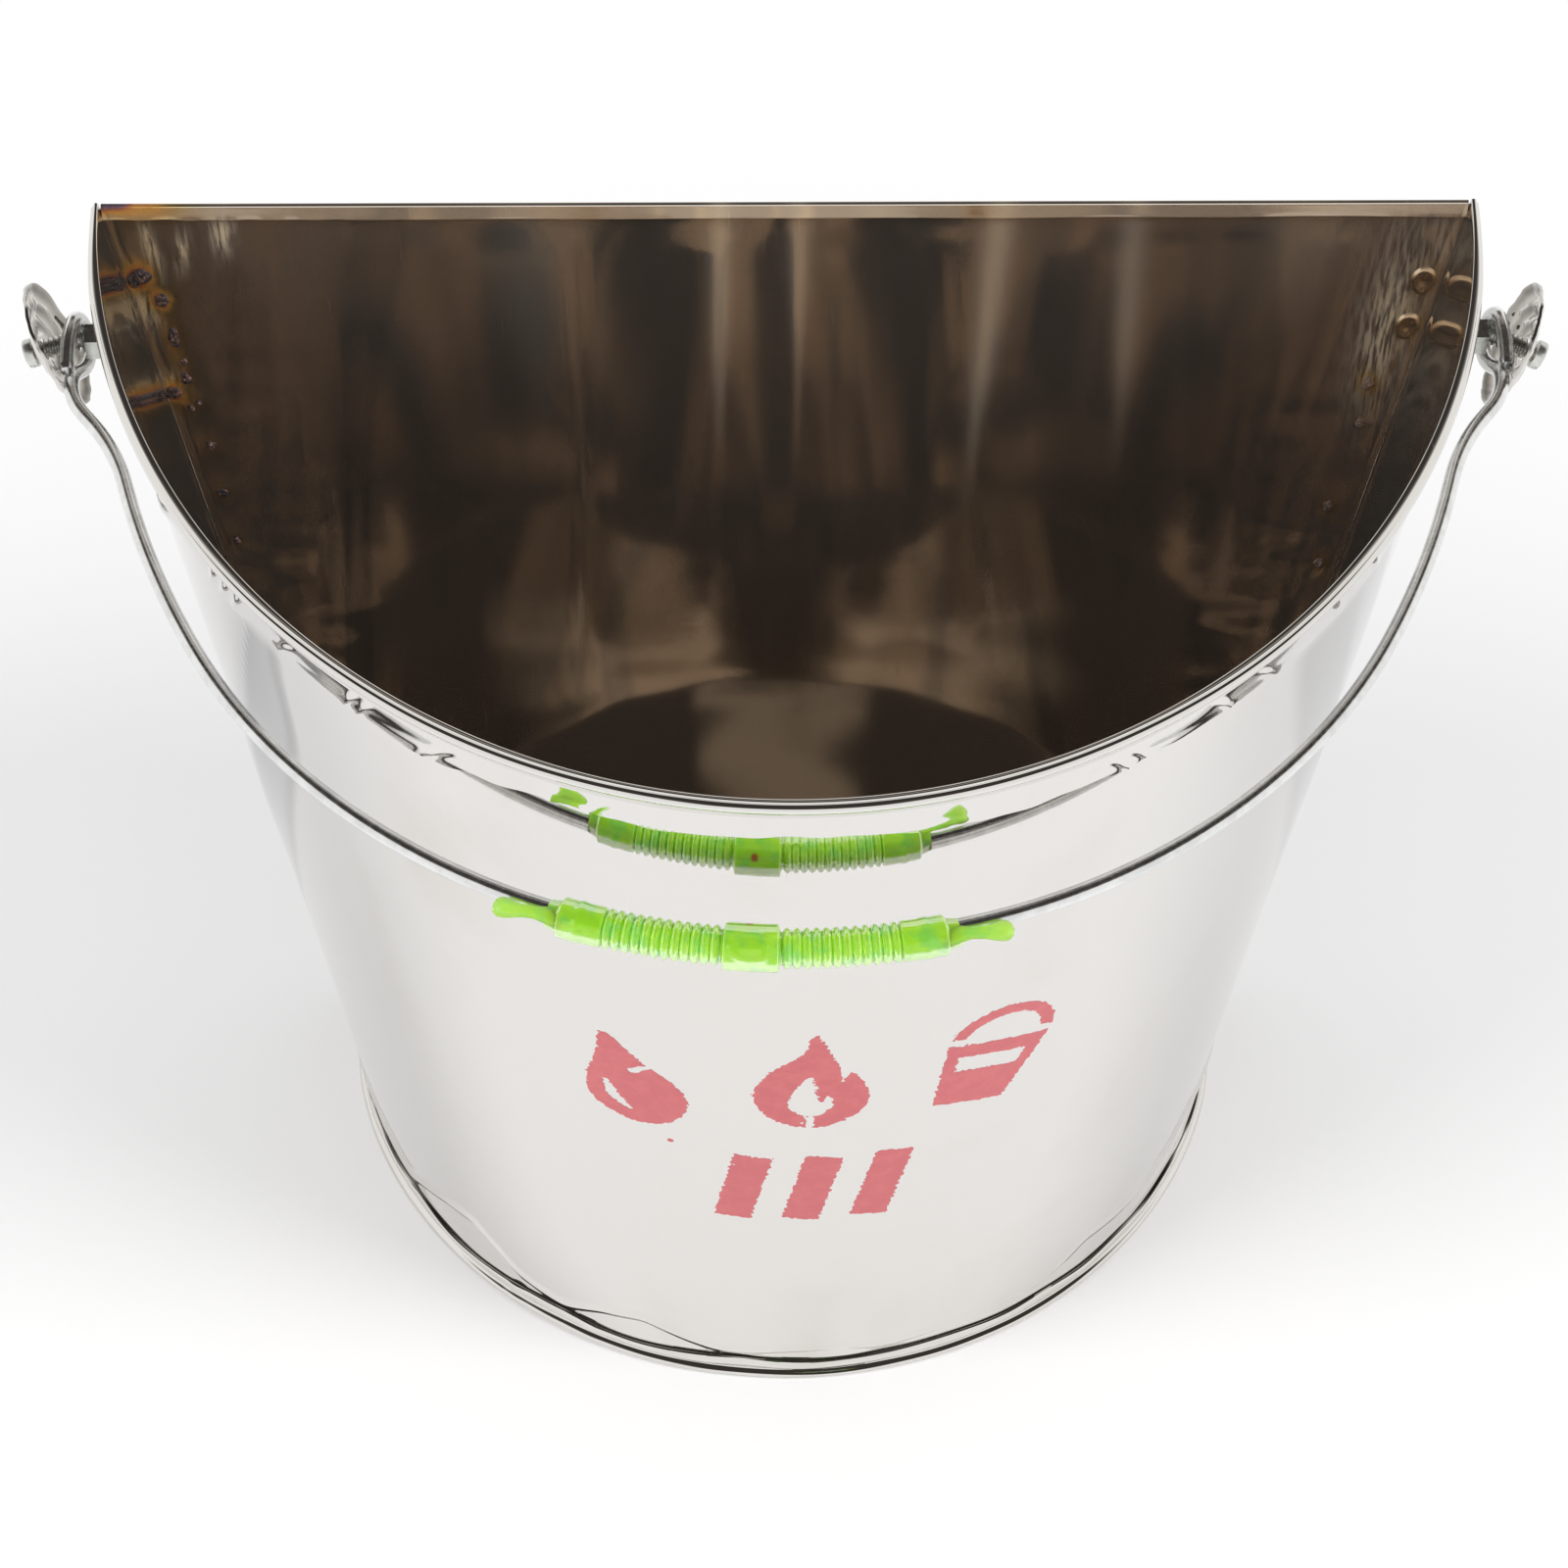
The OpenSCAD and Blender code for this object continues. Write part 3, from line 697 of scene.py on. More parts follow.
# The outer wall stores where its painted dark reflection bands lie.
wall = make_piece("wall_sheet", rings, skin(rings), [steel_bright, steel_inner],
                  numbers={"painted_reflection": painted_reflection_at(a[:, None], z, rim_z[:, None])})
inner_rows = len(inner_share) + 4    # the inside takes the bead's first four rows too
paint_columns(wall, np.tile(np.arange(len(rows)), len(s) - 1) < inner_rows)
strips = [make_piece(f"flange{side}", flange(side), skin(flange(side), side > 0), [steel_bright])
          for side in (-1, 1)]
fit(join("wall_sheet", [wall] + strips), "bucket", "polished_steel", "front_wall")

# %% [markdown]
# ## Back panel
# A flat sheet whose top edge is folded down inside, so nobody cuts a finger on it. The welding along
# its two sides pulled it slightly out of flat, which is why its reflections run in long streaks. The
# section again goes round both faces of the sheet; the streaks come from shallow upright ripples and
# from bright reflection streaks painted into its colour.

# %% Welds and streaks
# Each weld: distance in from the panel's edge, height, radius, how much taller than wide, how burnt
WELDS_LEFT = [(4.6, 256, 2.1, 1.0, 1), (7.2, 249, 1.75, 1.1, 1), (6.9, 238, 1.4, 2.2, 1),
              (6.4, 226, 1.3, 1.5, 1), (5.0, 217, 1.1, 1.0, 1), (6.6, 205, 1.3, 1.2, 1),
              (5.4, 190, 1.3, 1.0, 1), (4.5, 174.4, 1.2, 1.0, 1), (1.9, 254.4, 1.7, 1.1, 1),
              (2.0, 221.4, 2.0, 1.0, 1), (7.3, 231.0, 0.9, 1.3, 1), (7.4, 218.6, 0.9, 1.0, 1)]
WELDS_RIGHT = [(4.6, 253.4, 3.2, 1.25, 0), (4.5, 240.1, 3.2, 1.25, 0), (9.4, 223, 1.6, 1.3, 0.8),
               (7.8, 211, 1.2, 1.2, 0.9), (8.3, 184, 1.4, 1.2, 0.9), (5.3, 165, 1.4, 1.2, 0.9)]
weld_spots = [(side * (half_at(high) - inset), high, *rest)
              for side, welds in ((-1, WELDS_LEFT), (1, WELDS_RIGHT)) for inset, high, *rest in welds]
# Upright streaks, each a shallow groove in the sheet with a painted bright reflection along it: middle,
# width, lower end, strength, slant
GROOVES_AND_PAINTED_STREAKS = [(-16, 2.8, 190, 1.0, -0.03), (3, 2.6, 205, 0.8, 0.0), (52, 4.2, 178, 1.0, -0.10),
           (84, 4.0, 186, 0.7, 0.06), (-62, 12.0, 205, 0.35, 0.0), (126, 10.0, 226, 0.4, 0.0)]
# Sharp upright folds beside the rows of welds: side, lower end, how far in, how high
FOLDS = [(-1, 206, 7.5, 0.35), (1, 196, 6.0, 0.3)]
# Bright brushed pulls near the top left corner: across, height, width, half height, slant
PULLS = [(-154.3, 263.5, 1.7, 7.5, 0.10), (-147.0, 262.5, 1.6, 5.0, -0.2),
         (-136.5, 267.5, 2.6, 5.0, -0.1), (-158.5, 246.5, 3.5, 6.0, 0.2), (-156.5, 225.5, 3.5, 2.5, 0.0)]
print("welds:", len(weld_spots), " streaks:", len(GROOVES_AND_PAINTED_STREAKS))


# %% Shape of the panel, and the numbers that steer its colours
def panel_at(x, behind, h):
    """Point on the leaning panel: across, behind its inner face, and up along it."""
    return xyz(x, -BACK_LEAN + h * sin(lean) + behind * cos(lean), h * cos(lean) - behind * sin(lean))


def off_streak(x, h, middle, slant):
    return x - middle - slant * (HEIGHT - h) * 0.5


def ripple(x, h):
    """Long upright ripples, strongest near the top, and a small pull round each weld."""
    from_edge, low_end = half_at(h) - np.abs(x), step(h, 12, 30)
    inside = step(from_edge, 1, 26) * step(h, 12, 50) * (1 - step(h, 262, 271))
    upright = 0.15 * waves(x, 31, 42) * (0.1 + 0.9 * step(h, 60, 260))
    total = inside * (upright + 0.14 * dents(x, h, 32, 120, 900))
    for middle, width, low, strength, slant in GROOVES_AND_PAINTED_STREAKS:
        groove = step(h, low - 30, low + 40) * bump(off_streak(x, h, middle, slant), 1.2 * width)
        total = total - inside * 0.07 * strength * groove
    near_side = low_end * (1 - step(h, 266, 271)) * step(from_edge, 0.5, 3.5)
    total = total + near_side * 0.07 * dents(x, h, 33, 16, 22) * (1 - step(from_edge, 20, 45))
    for side, low, at, high in FOLDS:
        off = half_at(h) - side * x - at - 1.5 * step(HEIGHT - h, 20, 70)
        tent = np.clip(1 - np.sqrt(off**2 + 0.15) / 5, 0, 1)
        total = total - high * tent * step(h, low, low + 16) * (1 - step(h, 262, 270))
    for weld_x, weld_z, weld_r, _, _ in weld_spots:
        pull = np.exp(-((x - weld_x) ** 2 + (h - weld_z) ** 2) / (weld_r + 2.5) ** 2)
        total = total - 0.22 * near_side * pull
    return np.clip(total, -0.75, 0.75)


def heat_at(x, h):
    """How hot each place became: round the welds and along the top left corner."""
    total = 0 * x
    for weld_x, weld_z, weld_r, tall, burnt in weld_spots:
        d = np.hypot(x - weld_x, (h - weld_z) / tall)
        amount = 0.10 + 0.62 * burnt * step(weld_r, 1.2, 1.9)
        total = total + amount * bump(d, 1.05 * weld_r + 0.9)
    total = total + 1.2 * bump(x + 165, 8) * bump(h - 277.5, 3.2)
    total = total + 0.28 * bump(x + 153, 8) * bump(h - 276, 4)
    return np.clip(total + 0.06 * bump(x + 155, 12) * step(h, 150, 240), 0, 1)


def worn_at(x, h):
    """Where the sheet was brushed after welding."""
    total = bump(x - 150.5 + 0.05 * (250 - h), 6.5) * bump(h - 240, 21)
    total = total + 0.4 * bump(x - 161, 4) * bump(h - 263, 7)
    for at_x, at_h, wide, tall, slant in PULLS:
        total = total + bump(x - at_x + slant * (h - at_h), wide) * bump(h - at_h, tall)
    return np.clip(0.9 * total, 0, 1)


def painted_streak_at(x, h):
    """Painted bright reflection streaks that fade downward, over the grooves where the sheet is pulled by
    its folded edge.
    """
    total = 0 * x
    for middle, width, low, strength, slant in GROOVES_AND_PAINTED_STREAKS:
        fade = step(h, low, low + 60) * (1 - step(h, 268, 274) * 0.5)
        narrow = width * (0.35 + 0.65 * step(h, low, 270))
        total = total + strength * fade * bump(off_streak(x, h, middle, slant), narrow)
    return np.clip(total, 0, 1)


# %% Section of the panel: how far behind, how high, and whether it is the flat sheet or the fold
FOLD_HEIGHT, LIP_OUT = 3.0, 0.45    # the fold wasn't pressed flat: its edge stands this far out
turn_z, turn_r = HEIGHT - 1.0, SHEET + SEAT / 2
rows = [(SHEET, h, 1) for h in np.linspace(WALL_FOOT, turn_z, 90)]
rows += [(-SEAT / 2 + turn_r * cos(t), turn_z + turn_r * sin(t), 0)
         for t in np.radians(np.linspace(15, 165, 11))]
rows += [(-SHEET - SEAT - LIP_OUT * d / FOLD_HEIGHT, turn_z - d, 0)
         for d in np.linspace(0, FOLD_HEIGHT, 8)]
rows += [(-SEAT - LIP_OUT * d / FOLD_HEIGHT, turn_z - d - 0.25, 0)
         for d in np.linspace(FOLD_HEIGHT, 0.1, 6)]
rows += [(0, h, 1) for h in np.linspace(turn_z - 0.3, WALL_FOOT, 130)]
behind, h, flat_row = np.array(rows, float).T[:, None, :]
flat_row = flat_row > 0
half = np.where(flat_row, half_at(h) - SEAT, half_at(HEIGHT - FOLD_HEIGHT) - 0.2)
x = np.linspace(-1, 1, 421)[:, None] * half
lip_wave = 0.35 * waves(x, 41, 60) + 0.5 * bump(x + 140, 30) * waves(x, 42, 16)
high = h + 0.7 * lip_wave * ~flat_row * step(turn_z - h, 2, 4)
rings = panel_at(x, behind + np.where(flat_row, ripple(x, h), 0), high)
# The panel stores where its painted bright reflection streaks lie.
panel = make_piece("back_sheet", rings, skin(rings, False), [steel_bright, steel_panel],
                   numbers={"scorch": heat_at(x, high), "painted_streak": painted_streak_at(x, high),
                            "worn": worn_at(x, high)})
FIRST_INSIDE = 92    # the rows before it are on the outside
paint_columns(panel, np.tile(np.arange(len(rows)), len(x) - 1) >= FIRST_INSIDE)
fit(panel, "bucket", "polished_steel", "back_panel")

# %% [markdown]
# ## Spot welds
# Two copper tips pressed the sheets together and melted them at a spot. Each leaves a ring with a
# dimple. The right ones came out clean; on the left the tips were hot and left rough, rusty crusts.
# A small round grid per spot, raised and dimpled by a formula, is enough.

# %% Weld spots
t = circle(28)[None, :]
r = np.concatenate([[0.01], np.linspace(0.06, 1, 16), [1]])[:, None]
UNDER = 0.25    # the outermost ring goes this far into the sheet
spots, spot_faces, spot_burnt = [], [], []
for number, (weld_x, weld_z, weld_r, tall, burnt) in enumerate(weld_spots):
    rough_edge = weld_r * (1 + (0.02 + 0.13 * burnt) * waves(t * 4, 50 + number, 6.0))
    px, pz = weld_x + r * rough_edge * np.cos(t), weld_z + r * rough_edge * np.sin(t) * tall
    dome = burnt * (0.25 + 0.14 * weld_r) * np.sqrt(np.clip(1 - r**2, 0, 1))
    dome = dome + (1 - burnt) * (0.5 * (1 - r**4) + 0.16 * bump(r - 0.78, 0.14) - 0.32 * bump(r, 0.4))
    crust = 0.16 * burnt * dents(px * 3, pz * 3, 60 + number, 3, 3) * (1 - step(r, 0.7, 1.0))
    lift = np.clip(dome + crust, 0.0, 0.8) + 0.03
    lift[-1] = -UNDER
    spots.append(panel_at(px, ripple(px, pz) - lift, pz))
    spot_faces += [np.array(f) + number * lift.size for f in skin(lift, False)]
    spot_burnt.append(np.full(lift.shape, burnt))
welds = make_piece("weld_spots", spots, spot_faces, [weld_tint], numbers={"burnt": spot_burnt})
fit(welds, "bucket", "weld_tint", "spot_welds")

# %% [markdown]
# ## Bottom
# The floor sits a little above the ground. Its edge is folded down, under the wall and up outside it,
# and pressed tight. The press left a round bead at the ground and a wavy upper edge. The seam is one
# loop round the whole foot, and the floor fills it.

# %% Section of the seam
TALL_AT = [(0, 1.1), (0.2, 0.9), (0.35, 0.8), (0.45, 0.75), (0.55, 0.8), (0.6, 0.95), (0.65, 1.1),
           (0.7, 0.95), (0.74, 1.25), (0.8, 1.35), (0.86, 1.2), (1, 1.1)]
SEAM_BEAD_R, SEAM_BEAD_U = 1.4, 1.75


def seam_section(s, p):
    """Outward and upward places of the seam's section at station s, length p along the foot."""
    tall = looked_up(s, TALL_AT) + 0.05 * waves(p, 71, 30)
    top, fold = 5.0 + 1.9 * tall + 0.45 * waves(p, 72, 40), 4.15 * tall + 0.5
    lump = 0.5 * bump(s - 0.69, 0.006) + 0.35 * bump(s - 0.632, 0.008) + 0.3 * bump(s - 0.80, 0.006)
    lump = lump + 0.10 * waves(p, 73, 22)
    rows = [(-SHEET - SEAT, 0.35), (-0.45, 0.05)]
    for turn in np.radians(np.arange(-90, 71, 20)):
        rows.append((SEAM_BEAD_U + SEAM_BEAD_R * cos(turn) * (1 + 0.2 * lump),
                     SEAM_BEAD_R * (1 + sin(turn)) * tall))
    rows += [(1.7, 3.0 * tall), (1.45, 3.25 * tall), (1.4, 3.5 * tall), (1.5, 3.8 * tall)]
    rows += [(1.75 + lump, 4.15 * tall), (1.9 + lump, fold)]
    rows += [(out + 0.6 * lump, fold + share * (top - fold))
             for share, out in ((0.45, 1.85), (0.8, 1.7), (0.95, 1.45))]
    rows += [(1.15, top), (0.85, top - 0.05), (0.8, top - 1.0), (0.8, 1.6)]
    flared = len(rows)    # these rows but the first two follow the flare of the wall
    rows += [(SHEET + SEAT, SHEET), (-SEAT, SHEET), (-SEAT, FLOOR_Z + SHEET * 0.4)]
    rows += [(-SEAT - 0.25, FLOOR_Z + SHEET * 0.9), (-SEAT - SHEET, FLOOR_Z + SHEET)]
    out, up = (np.stack([row[k] + 0 * p for row in rows], 1) for k in (0, 1))
    out[:, 2:flared] += flare(s[:, None], np.maximum(up, 2.0))[:, 2:flared]
    return out, up


# %% Path round the foot, with its corners mitred
foot_s = np.linspace(0, 1, 481)
foot_out = level_out(foot_s)
for end in (0, -1):
    foot_out[end] = (foot_out[end] + [0, 1, 0]) / (1 + foot_out[end][1])
u, z = seam_section(foot_s, lengths_along(foot_at(foot_s)))
front_rings = wall_at(foot_s[:, None] + 0 * u, u, z, foot_out[:, None, :])
back_steps = np.linspace(0, 1, 122)[1:-1, None, None]
back_rings = front_rings[-1] + (front_rings[0] - front_rings[-1]) * back_steps
seam = np.concatenate([front_rings, back_rings])
m, count = seam.shape[:2]
print("seam:", m, "stations of", count, "points")

# %% Floor inside the seam
FLOOR_MIDDLE = np.array([0.0, -70.0])
edge_top = seam[:, -1]
shares = np.linspace(0, 1, 26)[1:-1]
floor_rings = [edge_top]
for t in shares:
    flat = FLOOR_MIDDLE + (edge_top[:, :2] - FLOOR_MIDDLE) * (1 - t)
    sag = 0.10 * dents(flat[:, 0], flat[:, 1], 81, 90, 90) * step(t, 0.02, 0.2)
    floor_rings.append(np.column_stack([flat, FLOOR_Z + SHEET + sag]))
under_rings = [ring - [0, 0, SHEET] for ring in floor_rings[::-1]]
foot_points = np.concatenate([seam.reshape(-1, 3), *floor_rings[1:], *under_rings])
round_foot = np.arange(m)
later = [m * count + i * m + round_foot for i in range(len(shares) + len(under_rings))]
top_ids = [round_foot * count + count - 1] + later[:len(shares)]
low_ids = later[len(shares):] + [round_foot * count]


def bands(ids):
    """Faces between neighbouring closed rows of point numbers."""
    return [np.stack([np.roll(a, -1), np.roll(b, -1), b, a], -1) for a, b in zip(ids, ids[1:])]


seam_quads = grid_faces(m, count, ring_loop=True, point_loop=False)
foot_faces = [seam_quads[:, ::-1], *bands(top_ids), *bands(low_ids),
              list(top_ids[-1][::-1]), list(low_ids[0])]
bottom = make_piece("bottom_sheet", foot_points, foot_faces, [steel_bright, steel_inner])
paint_columns(bottom, np.arange(len(seam_quads) + m * len(shares)) >= len(seam_quads), [-2])
fit(bottom, "bucket", "polished_steel", "bottom_plate")

# %% [markdown]
# ## Stencilled marks
# Paint was brushed through a stencil, so its edges are ragged and it misses small spots. The marks
# here are plain signs of what the bucket is for: a drop, a flame and a bucket, and three bars. A
# picture could be laid on the wall, but a thin film of paint cut to the outline stays crisp from
# every distance. Each shape is a distance field: a number that says how far a place is from the edge.

# %% Distance to simple outlines
def to_line(px, pz, x0, z0, x1, z1):
    ex, ez = x1 - x0, z1 - z0
    t = np.clip(((px - x0) * ex + (pz - z0) * ez) / (ex * ex + ez * ez), 0, 1)
    return np.hypot(px - x0 - t * ex, pz - z0 - t * ez)


def to_polygon(px, pz, corners):
    """Signed distance to a polygon, negative inside."""
    c = np.array(corners, float)
    best, inside = np.full(px.shape, 1e9), np.zeros(px.shape, bool)
    for (x0, z0), (x1, z1) in zip(c, np.roll(c, -1, 0)):
        best = np.minimum(best, to_line(px, pz, x0, z0, x1, z1))
        ex, ez = x1 - x0, z1 - z0
        inside ^= ((z0 > pz) != (z1 > pz)) & (px < ex * (pz - z0) / (ez or 1e-9) + x0)
    return np.where(inside, -best, best)


def to_round(px, pz, points, n=60):
    """Signed distance to a closed smooth outline through a few points."""
    return to_polygon(px, pz, smooth_line([points[-1]] + points + [points[0]], n + 1)[1:-1])


def without(shape, *holes):
    for hole in holes:
        shape = np.maximum(shape, -hole)
    return shape


# %% The marks, each in its own upright frame
def drop_mark(x, z):
    body = to_round(x, z, [(0, 20), (-5, 10), (-11, -1), (-12, -10), (-6, -17.5), (0, -19),
                           (6, -17.5), (12, -10), (11, -1), (5, 10)])
    shine = to_round(x, z, [(-6, 0), (-7.5, -8), (-3, -13.5), (-4, -8)])
    return without(body, shine, to_line(x, z, 2, 4, 14, 10) - 0.9)


def flame_mark(x, z):
    body = to_round(x, z, [(1, 21), (-2, 13), (-9, 5), (-13, -5), (-10, -15), (-3, -20), (5, -19.5),
                           (12, -13), (13, -4), (9, 4), (7, 0), (6, 8)], 90)
    core = to_round(x, z, [(0, 3), (-4, -4), (-5, -11), (0, -15.5), (5, -11), (4, -6), (2, -8)])
    return without(body, core, to_line(x, z, 0, -14, 0, -22) - 0.9)


def bucket_mark(x, z):
    body = to_polygon(x, z, [(-13, 6), (13, 6), (9, -19), (-9, -19)])
    window = to_polygon(x, z, [(-9, 1), (9, 1), (8, -5), (-8, -5)])
    bail = np.maximum(np.abs(np.hypot(x, z - 7) - 11.5) - 1.7, 8.5 - z)
    return np.minimum(without(body, window), bail)


def bar_mark(x, z):
    return np.maximum(np.abs(x) - 4.6, np.abs(z) - 16)


# Each mark with its place on the wall and its turn in degrees
MARKS = [(drop_mark, -38, 150, 14), (flame_mark, 4, 157, 0), (bucket_mark, 46, 156, -14),
         (bar_mark, -12, 106, -10), (bar_mark, 5, 106, -10), (bar_mark, 22, 106, -10)]


def stencil(x, z):
    """Signed distance to all the marks, with ragged edges, missed spots and one splash."""
    marks = []
    for mark, at_x, at_z, turn in MARKS:
        c, sn, dx, dz = cos(radians(turn)), sin(radians(turn)), x - at_x, z - at_z
        marks.append(mark(dx * c + dz * sn, -dx * sn + dz * c))
    ragged = 0.28 * dents(x, z, 91, 2.4, 2.4, 24) + 0.2 * dents(x, z, 92, 0.9, 0.9, 24)
    missed = dents(x, z, 93, 2.6, 2.6, 30) + 0.8 * dents(x, z, 94, 9, 9, 12) - 2.75
    splash = np.hypot(x + 29, z - 125) - 0.8
    return np.minimum(np.maximum(np.minimum.reduce(marks) + ragged, missed), splash)


# %% Cut the film of paint out of a fine grid, cell by cell along the outline
CELL, FILM = 0.42, 0.05
grid_x, grid_z = np.arange(-62, 68, CELL), np.arange(78, 186, CELL)
field = stencil(*np.meshgrid(grid_x, grid_z, indexing="ij"))
crossing, film_places, film_faces = {}, [], []


def film_point(key, x, z):
    """Number of the film's point with this key, made when it is first asked for."""
    if key not in crossing:
        crossing[key] = len(film_places)
        film_places.append((x, z))
    return crossing[key]


wet = field < 0
busy = wet[:-1, :-1] | wet[1:, :-1] | wet[1:, 1:] | wet[:-1, 1:]
for i, j in zip(*np.nonzero(busy)):
    ring = [(i, j), (i + 1, j), (i + 1, j + 1), (i, j + 1)]
    face = []
    for p, q in zip(ring, ring[1:] + ring[:1]):
        if wet[p]:
            face.append(film_point(p, grid_x[p[0]], grid_z[p[1]]))
        if wet[p] != wet[q]:
            t = field[p] / (field[p] - field[q])
            cut_x, cut_z = (grid[a] + t * (grid[b] - grid[a])
                            for grid, a, b in zip((grid_x, grid_z), p, q))
            face.append(film_point((min(p, q), max(p, q)), cut_x, cut_z))
    if len(face) > 2:
        film_faces.append(face)
film_x, film_z = np.array(film_places).T
print("paint film:", len(film_x), "points,", len(film_faces), "faces")

# %% Lay the film on the wall
mid_arc = lengths_along(wall_at(stations, SHEET, 135))
mid_arc = mid_arc[-1] / 2 - mid_arc
film_s = np.interp(film_x, mid_arc[::-1], stations[::-1])
lift = SHEET + buckle(film_s, arc_at(film_s), film_z, rim_at(film_s)[:, 2])
film_rings = np.concatenate([wall_at(film_s, lift + out, film_z) for out in (FILM, -FILM / 2)])
turns = {(p, q) for f in film_faces for p, q in zip(f, f[1:] + f[:1])}
total = len(film_x)
film_sides = [[q, p, p + total, q + total] for p, q in sorted(turns) if (q, p) not in turns]
film_backs = [[p + total for p in f[::-1]] for f in film_faces]
paint = make_piece("stencil_marks", film_rings, film_faces + film_backs + film_sides, [red_paint])
fit(paint, "bucket", "polished_steel")

# %% [markdown]
# ## Ears
# Each ear is a weld nut, a screw through the loop of the wire, and a dished cup that keeps the loop
# from slipping off. Threads and a slotted head are what the eye looks for, so both are real shapes:
# the thread is a grid whose radius follows a helix, and the slot is cut out of the head.

# %% Where the ears are
cup_low, cup_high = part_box("ear_cup_right")
CUP_FACE, EAR_Z = cup_low.x / MM, (cup_low.z + cup_high.z) / 2 / MM
HEAD_END, NUT_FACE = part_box("ear_screw_right")[1].x / MM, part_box("ear_nut_right")[1].x / MM
SCREW_R, WIRE_R, SIDE_PLAY = 2.35, 1.75, 0.4
EAR_X, EAR_Y = NUT_FACE + SIDE_PLAY + WIRE_R, -36.0
NAMES = {-1: "left", 1: "right"}
print("ear at", round(EAR_X, 2), EAR_Y, round(EAR_Z, 2), " head ends at", round(HEAD_END, 2))


def tilted(points, forward, down):
    """Points along X, turned so that X points a little forward and down."""
    turn = Matrix.Rotation(radians(-forward), 3, "Z") @ Matrix.Rotation(radians(down), 3, "Y")
    return np.array(points, float) @ np.array(turn).T


def on_ear(points, side, tilt, start=(0, 0, 0)):
    """Points from the ear's middle, or another start, tilted and put on the left or right ear."""
    return (tilted(points, *tilt) + start + [EAR_X, EAR_Y, EAR_Z]) * [side, 1, 1]


def lathe(along, radius, t):
    """Rings round the X axis."""
    return xyz(along, radius * np.cos(t), radius * np.sin(t))


# %% Screw with its thread and slotted head
HEAD_LEN, HEAD_R, PITCH, SCREW_TIP, THREAD_DEPTH = 2.8, 3.4, 1.25, -3.6, 0.62
SCREW_TILT = {-1: (11, 11), 1: (18, 17)}    # degrees forward and down
head_start = HEAD_END - HEAD_LEN - EAR_X
# Along from where the head starts, and radius
HEAD_LINE = [(0, 0.01), (0, 2.4), (0.15, HEAD_R - 0.35), (0.5, HEAD_R), (1.9, HEAD_R),
             (2.45, HEAD_R - 0.15), (2.7, HEAD_R - 0.55), (2.8, HEAD_R - 1.2), (2.8, 0.01)]
SLOT_BOX = [[x, y, z] for x in (1.4, 5.0) for y in (-6, 6) for z in (-0.55, 0.55)]
SLOT_FACES = [[0, 1, 3, 2], [4, 6, 7, 5], [0, 4, 5, 1], [2, 3, 7, 6], [0, 2, 6, 4], [1, 5, 7, 3]]
SLOT_TURN = np.array(Matrix.Rotation(radians(35), 3, "X"))


def shank_rings():
    """Threaded shank from its tip to the head."""
    along, t = np.arange(SCREW_TIP, head_start + 0.35, 0.1)[:, None], circle(40)
    crest = np.abs((along / PITCH - t / (2 * pi)) % 1 * 2 - 1)
    radius = SCREW_R - THREAD_DEPTH * (1 - step(crest, 0.25, 0.85))
    return lathe(along, radius - 0.5 * np.maximum(SCREW_TIP + 0.8 - along, 0), t)


def make_screw(side):
    name, tilt = "screw_" + NAMES[side], SCREW_TILT[side]
    shank = on_ear(shank_rings(), side, tilt)
    shank = make_piece(name, shank, skin(shank, side > 0), [zinc_fastener], sharp=60)
    along, radius = np.array(HEAD_LINE).T[..., None]
    head = on_ear(lathe(along + head_start, radius, circle(48)), side, tilt)
    head = make_piece("head", head, skin(head, side > 0), [zinc_fastener], sharp=35)
    box = on_ear(SLOT_BOX @ SLOT_TURN.T + [head_start, 0, 0], side, tilt)
    cutter = make_piece("cutter", box, SLOT_FACES, [])
    for piece in (cutter, head):
        chosen([piece])
        bpy.ops.object.mode_set(mode="EDIT")
        bpy.ops.mesh.select_all(action="SELECT")
        bpy.ops.mesh.normals_make_consistent(inside=False)
        bpy.ops.object.mode_set(mode="OBJECT")
    cut = head.modifiers.new("slot", "BOOLEAN")
    cut.object, cut.operation = cutter, "DIFFERENCE"
    bpy.ops.object.modifier_apply(modifier="slot")
    bpy.data.objects.remove(cutter)
    fit(join(name, [shank, head]), "bucket", "zinc_fastener", "ear_" + name)


for side in (-1, 1):
    make_screw(side)

# %% Dished cups, which hang loosely on their screws, top edge leaning out
CUP_D, CUP_DEPTH, CUP_WALL, CUP_HOLE_R, CUP_OUT = 30.0, 3.4, 0.8, 2.8, 2.6
CUP_AT = CUP_FACE - EAR_X + CUP_DEPTH + CUP_OUT
CUP_TILT = {-1: (10, 19), 1: (11, 16)}
dish_r = ((CUP_D / 2) ** 2 + CUP_DEPTH**2) / (2 * CUP_DEPTH)


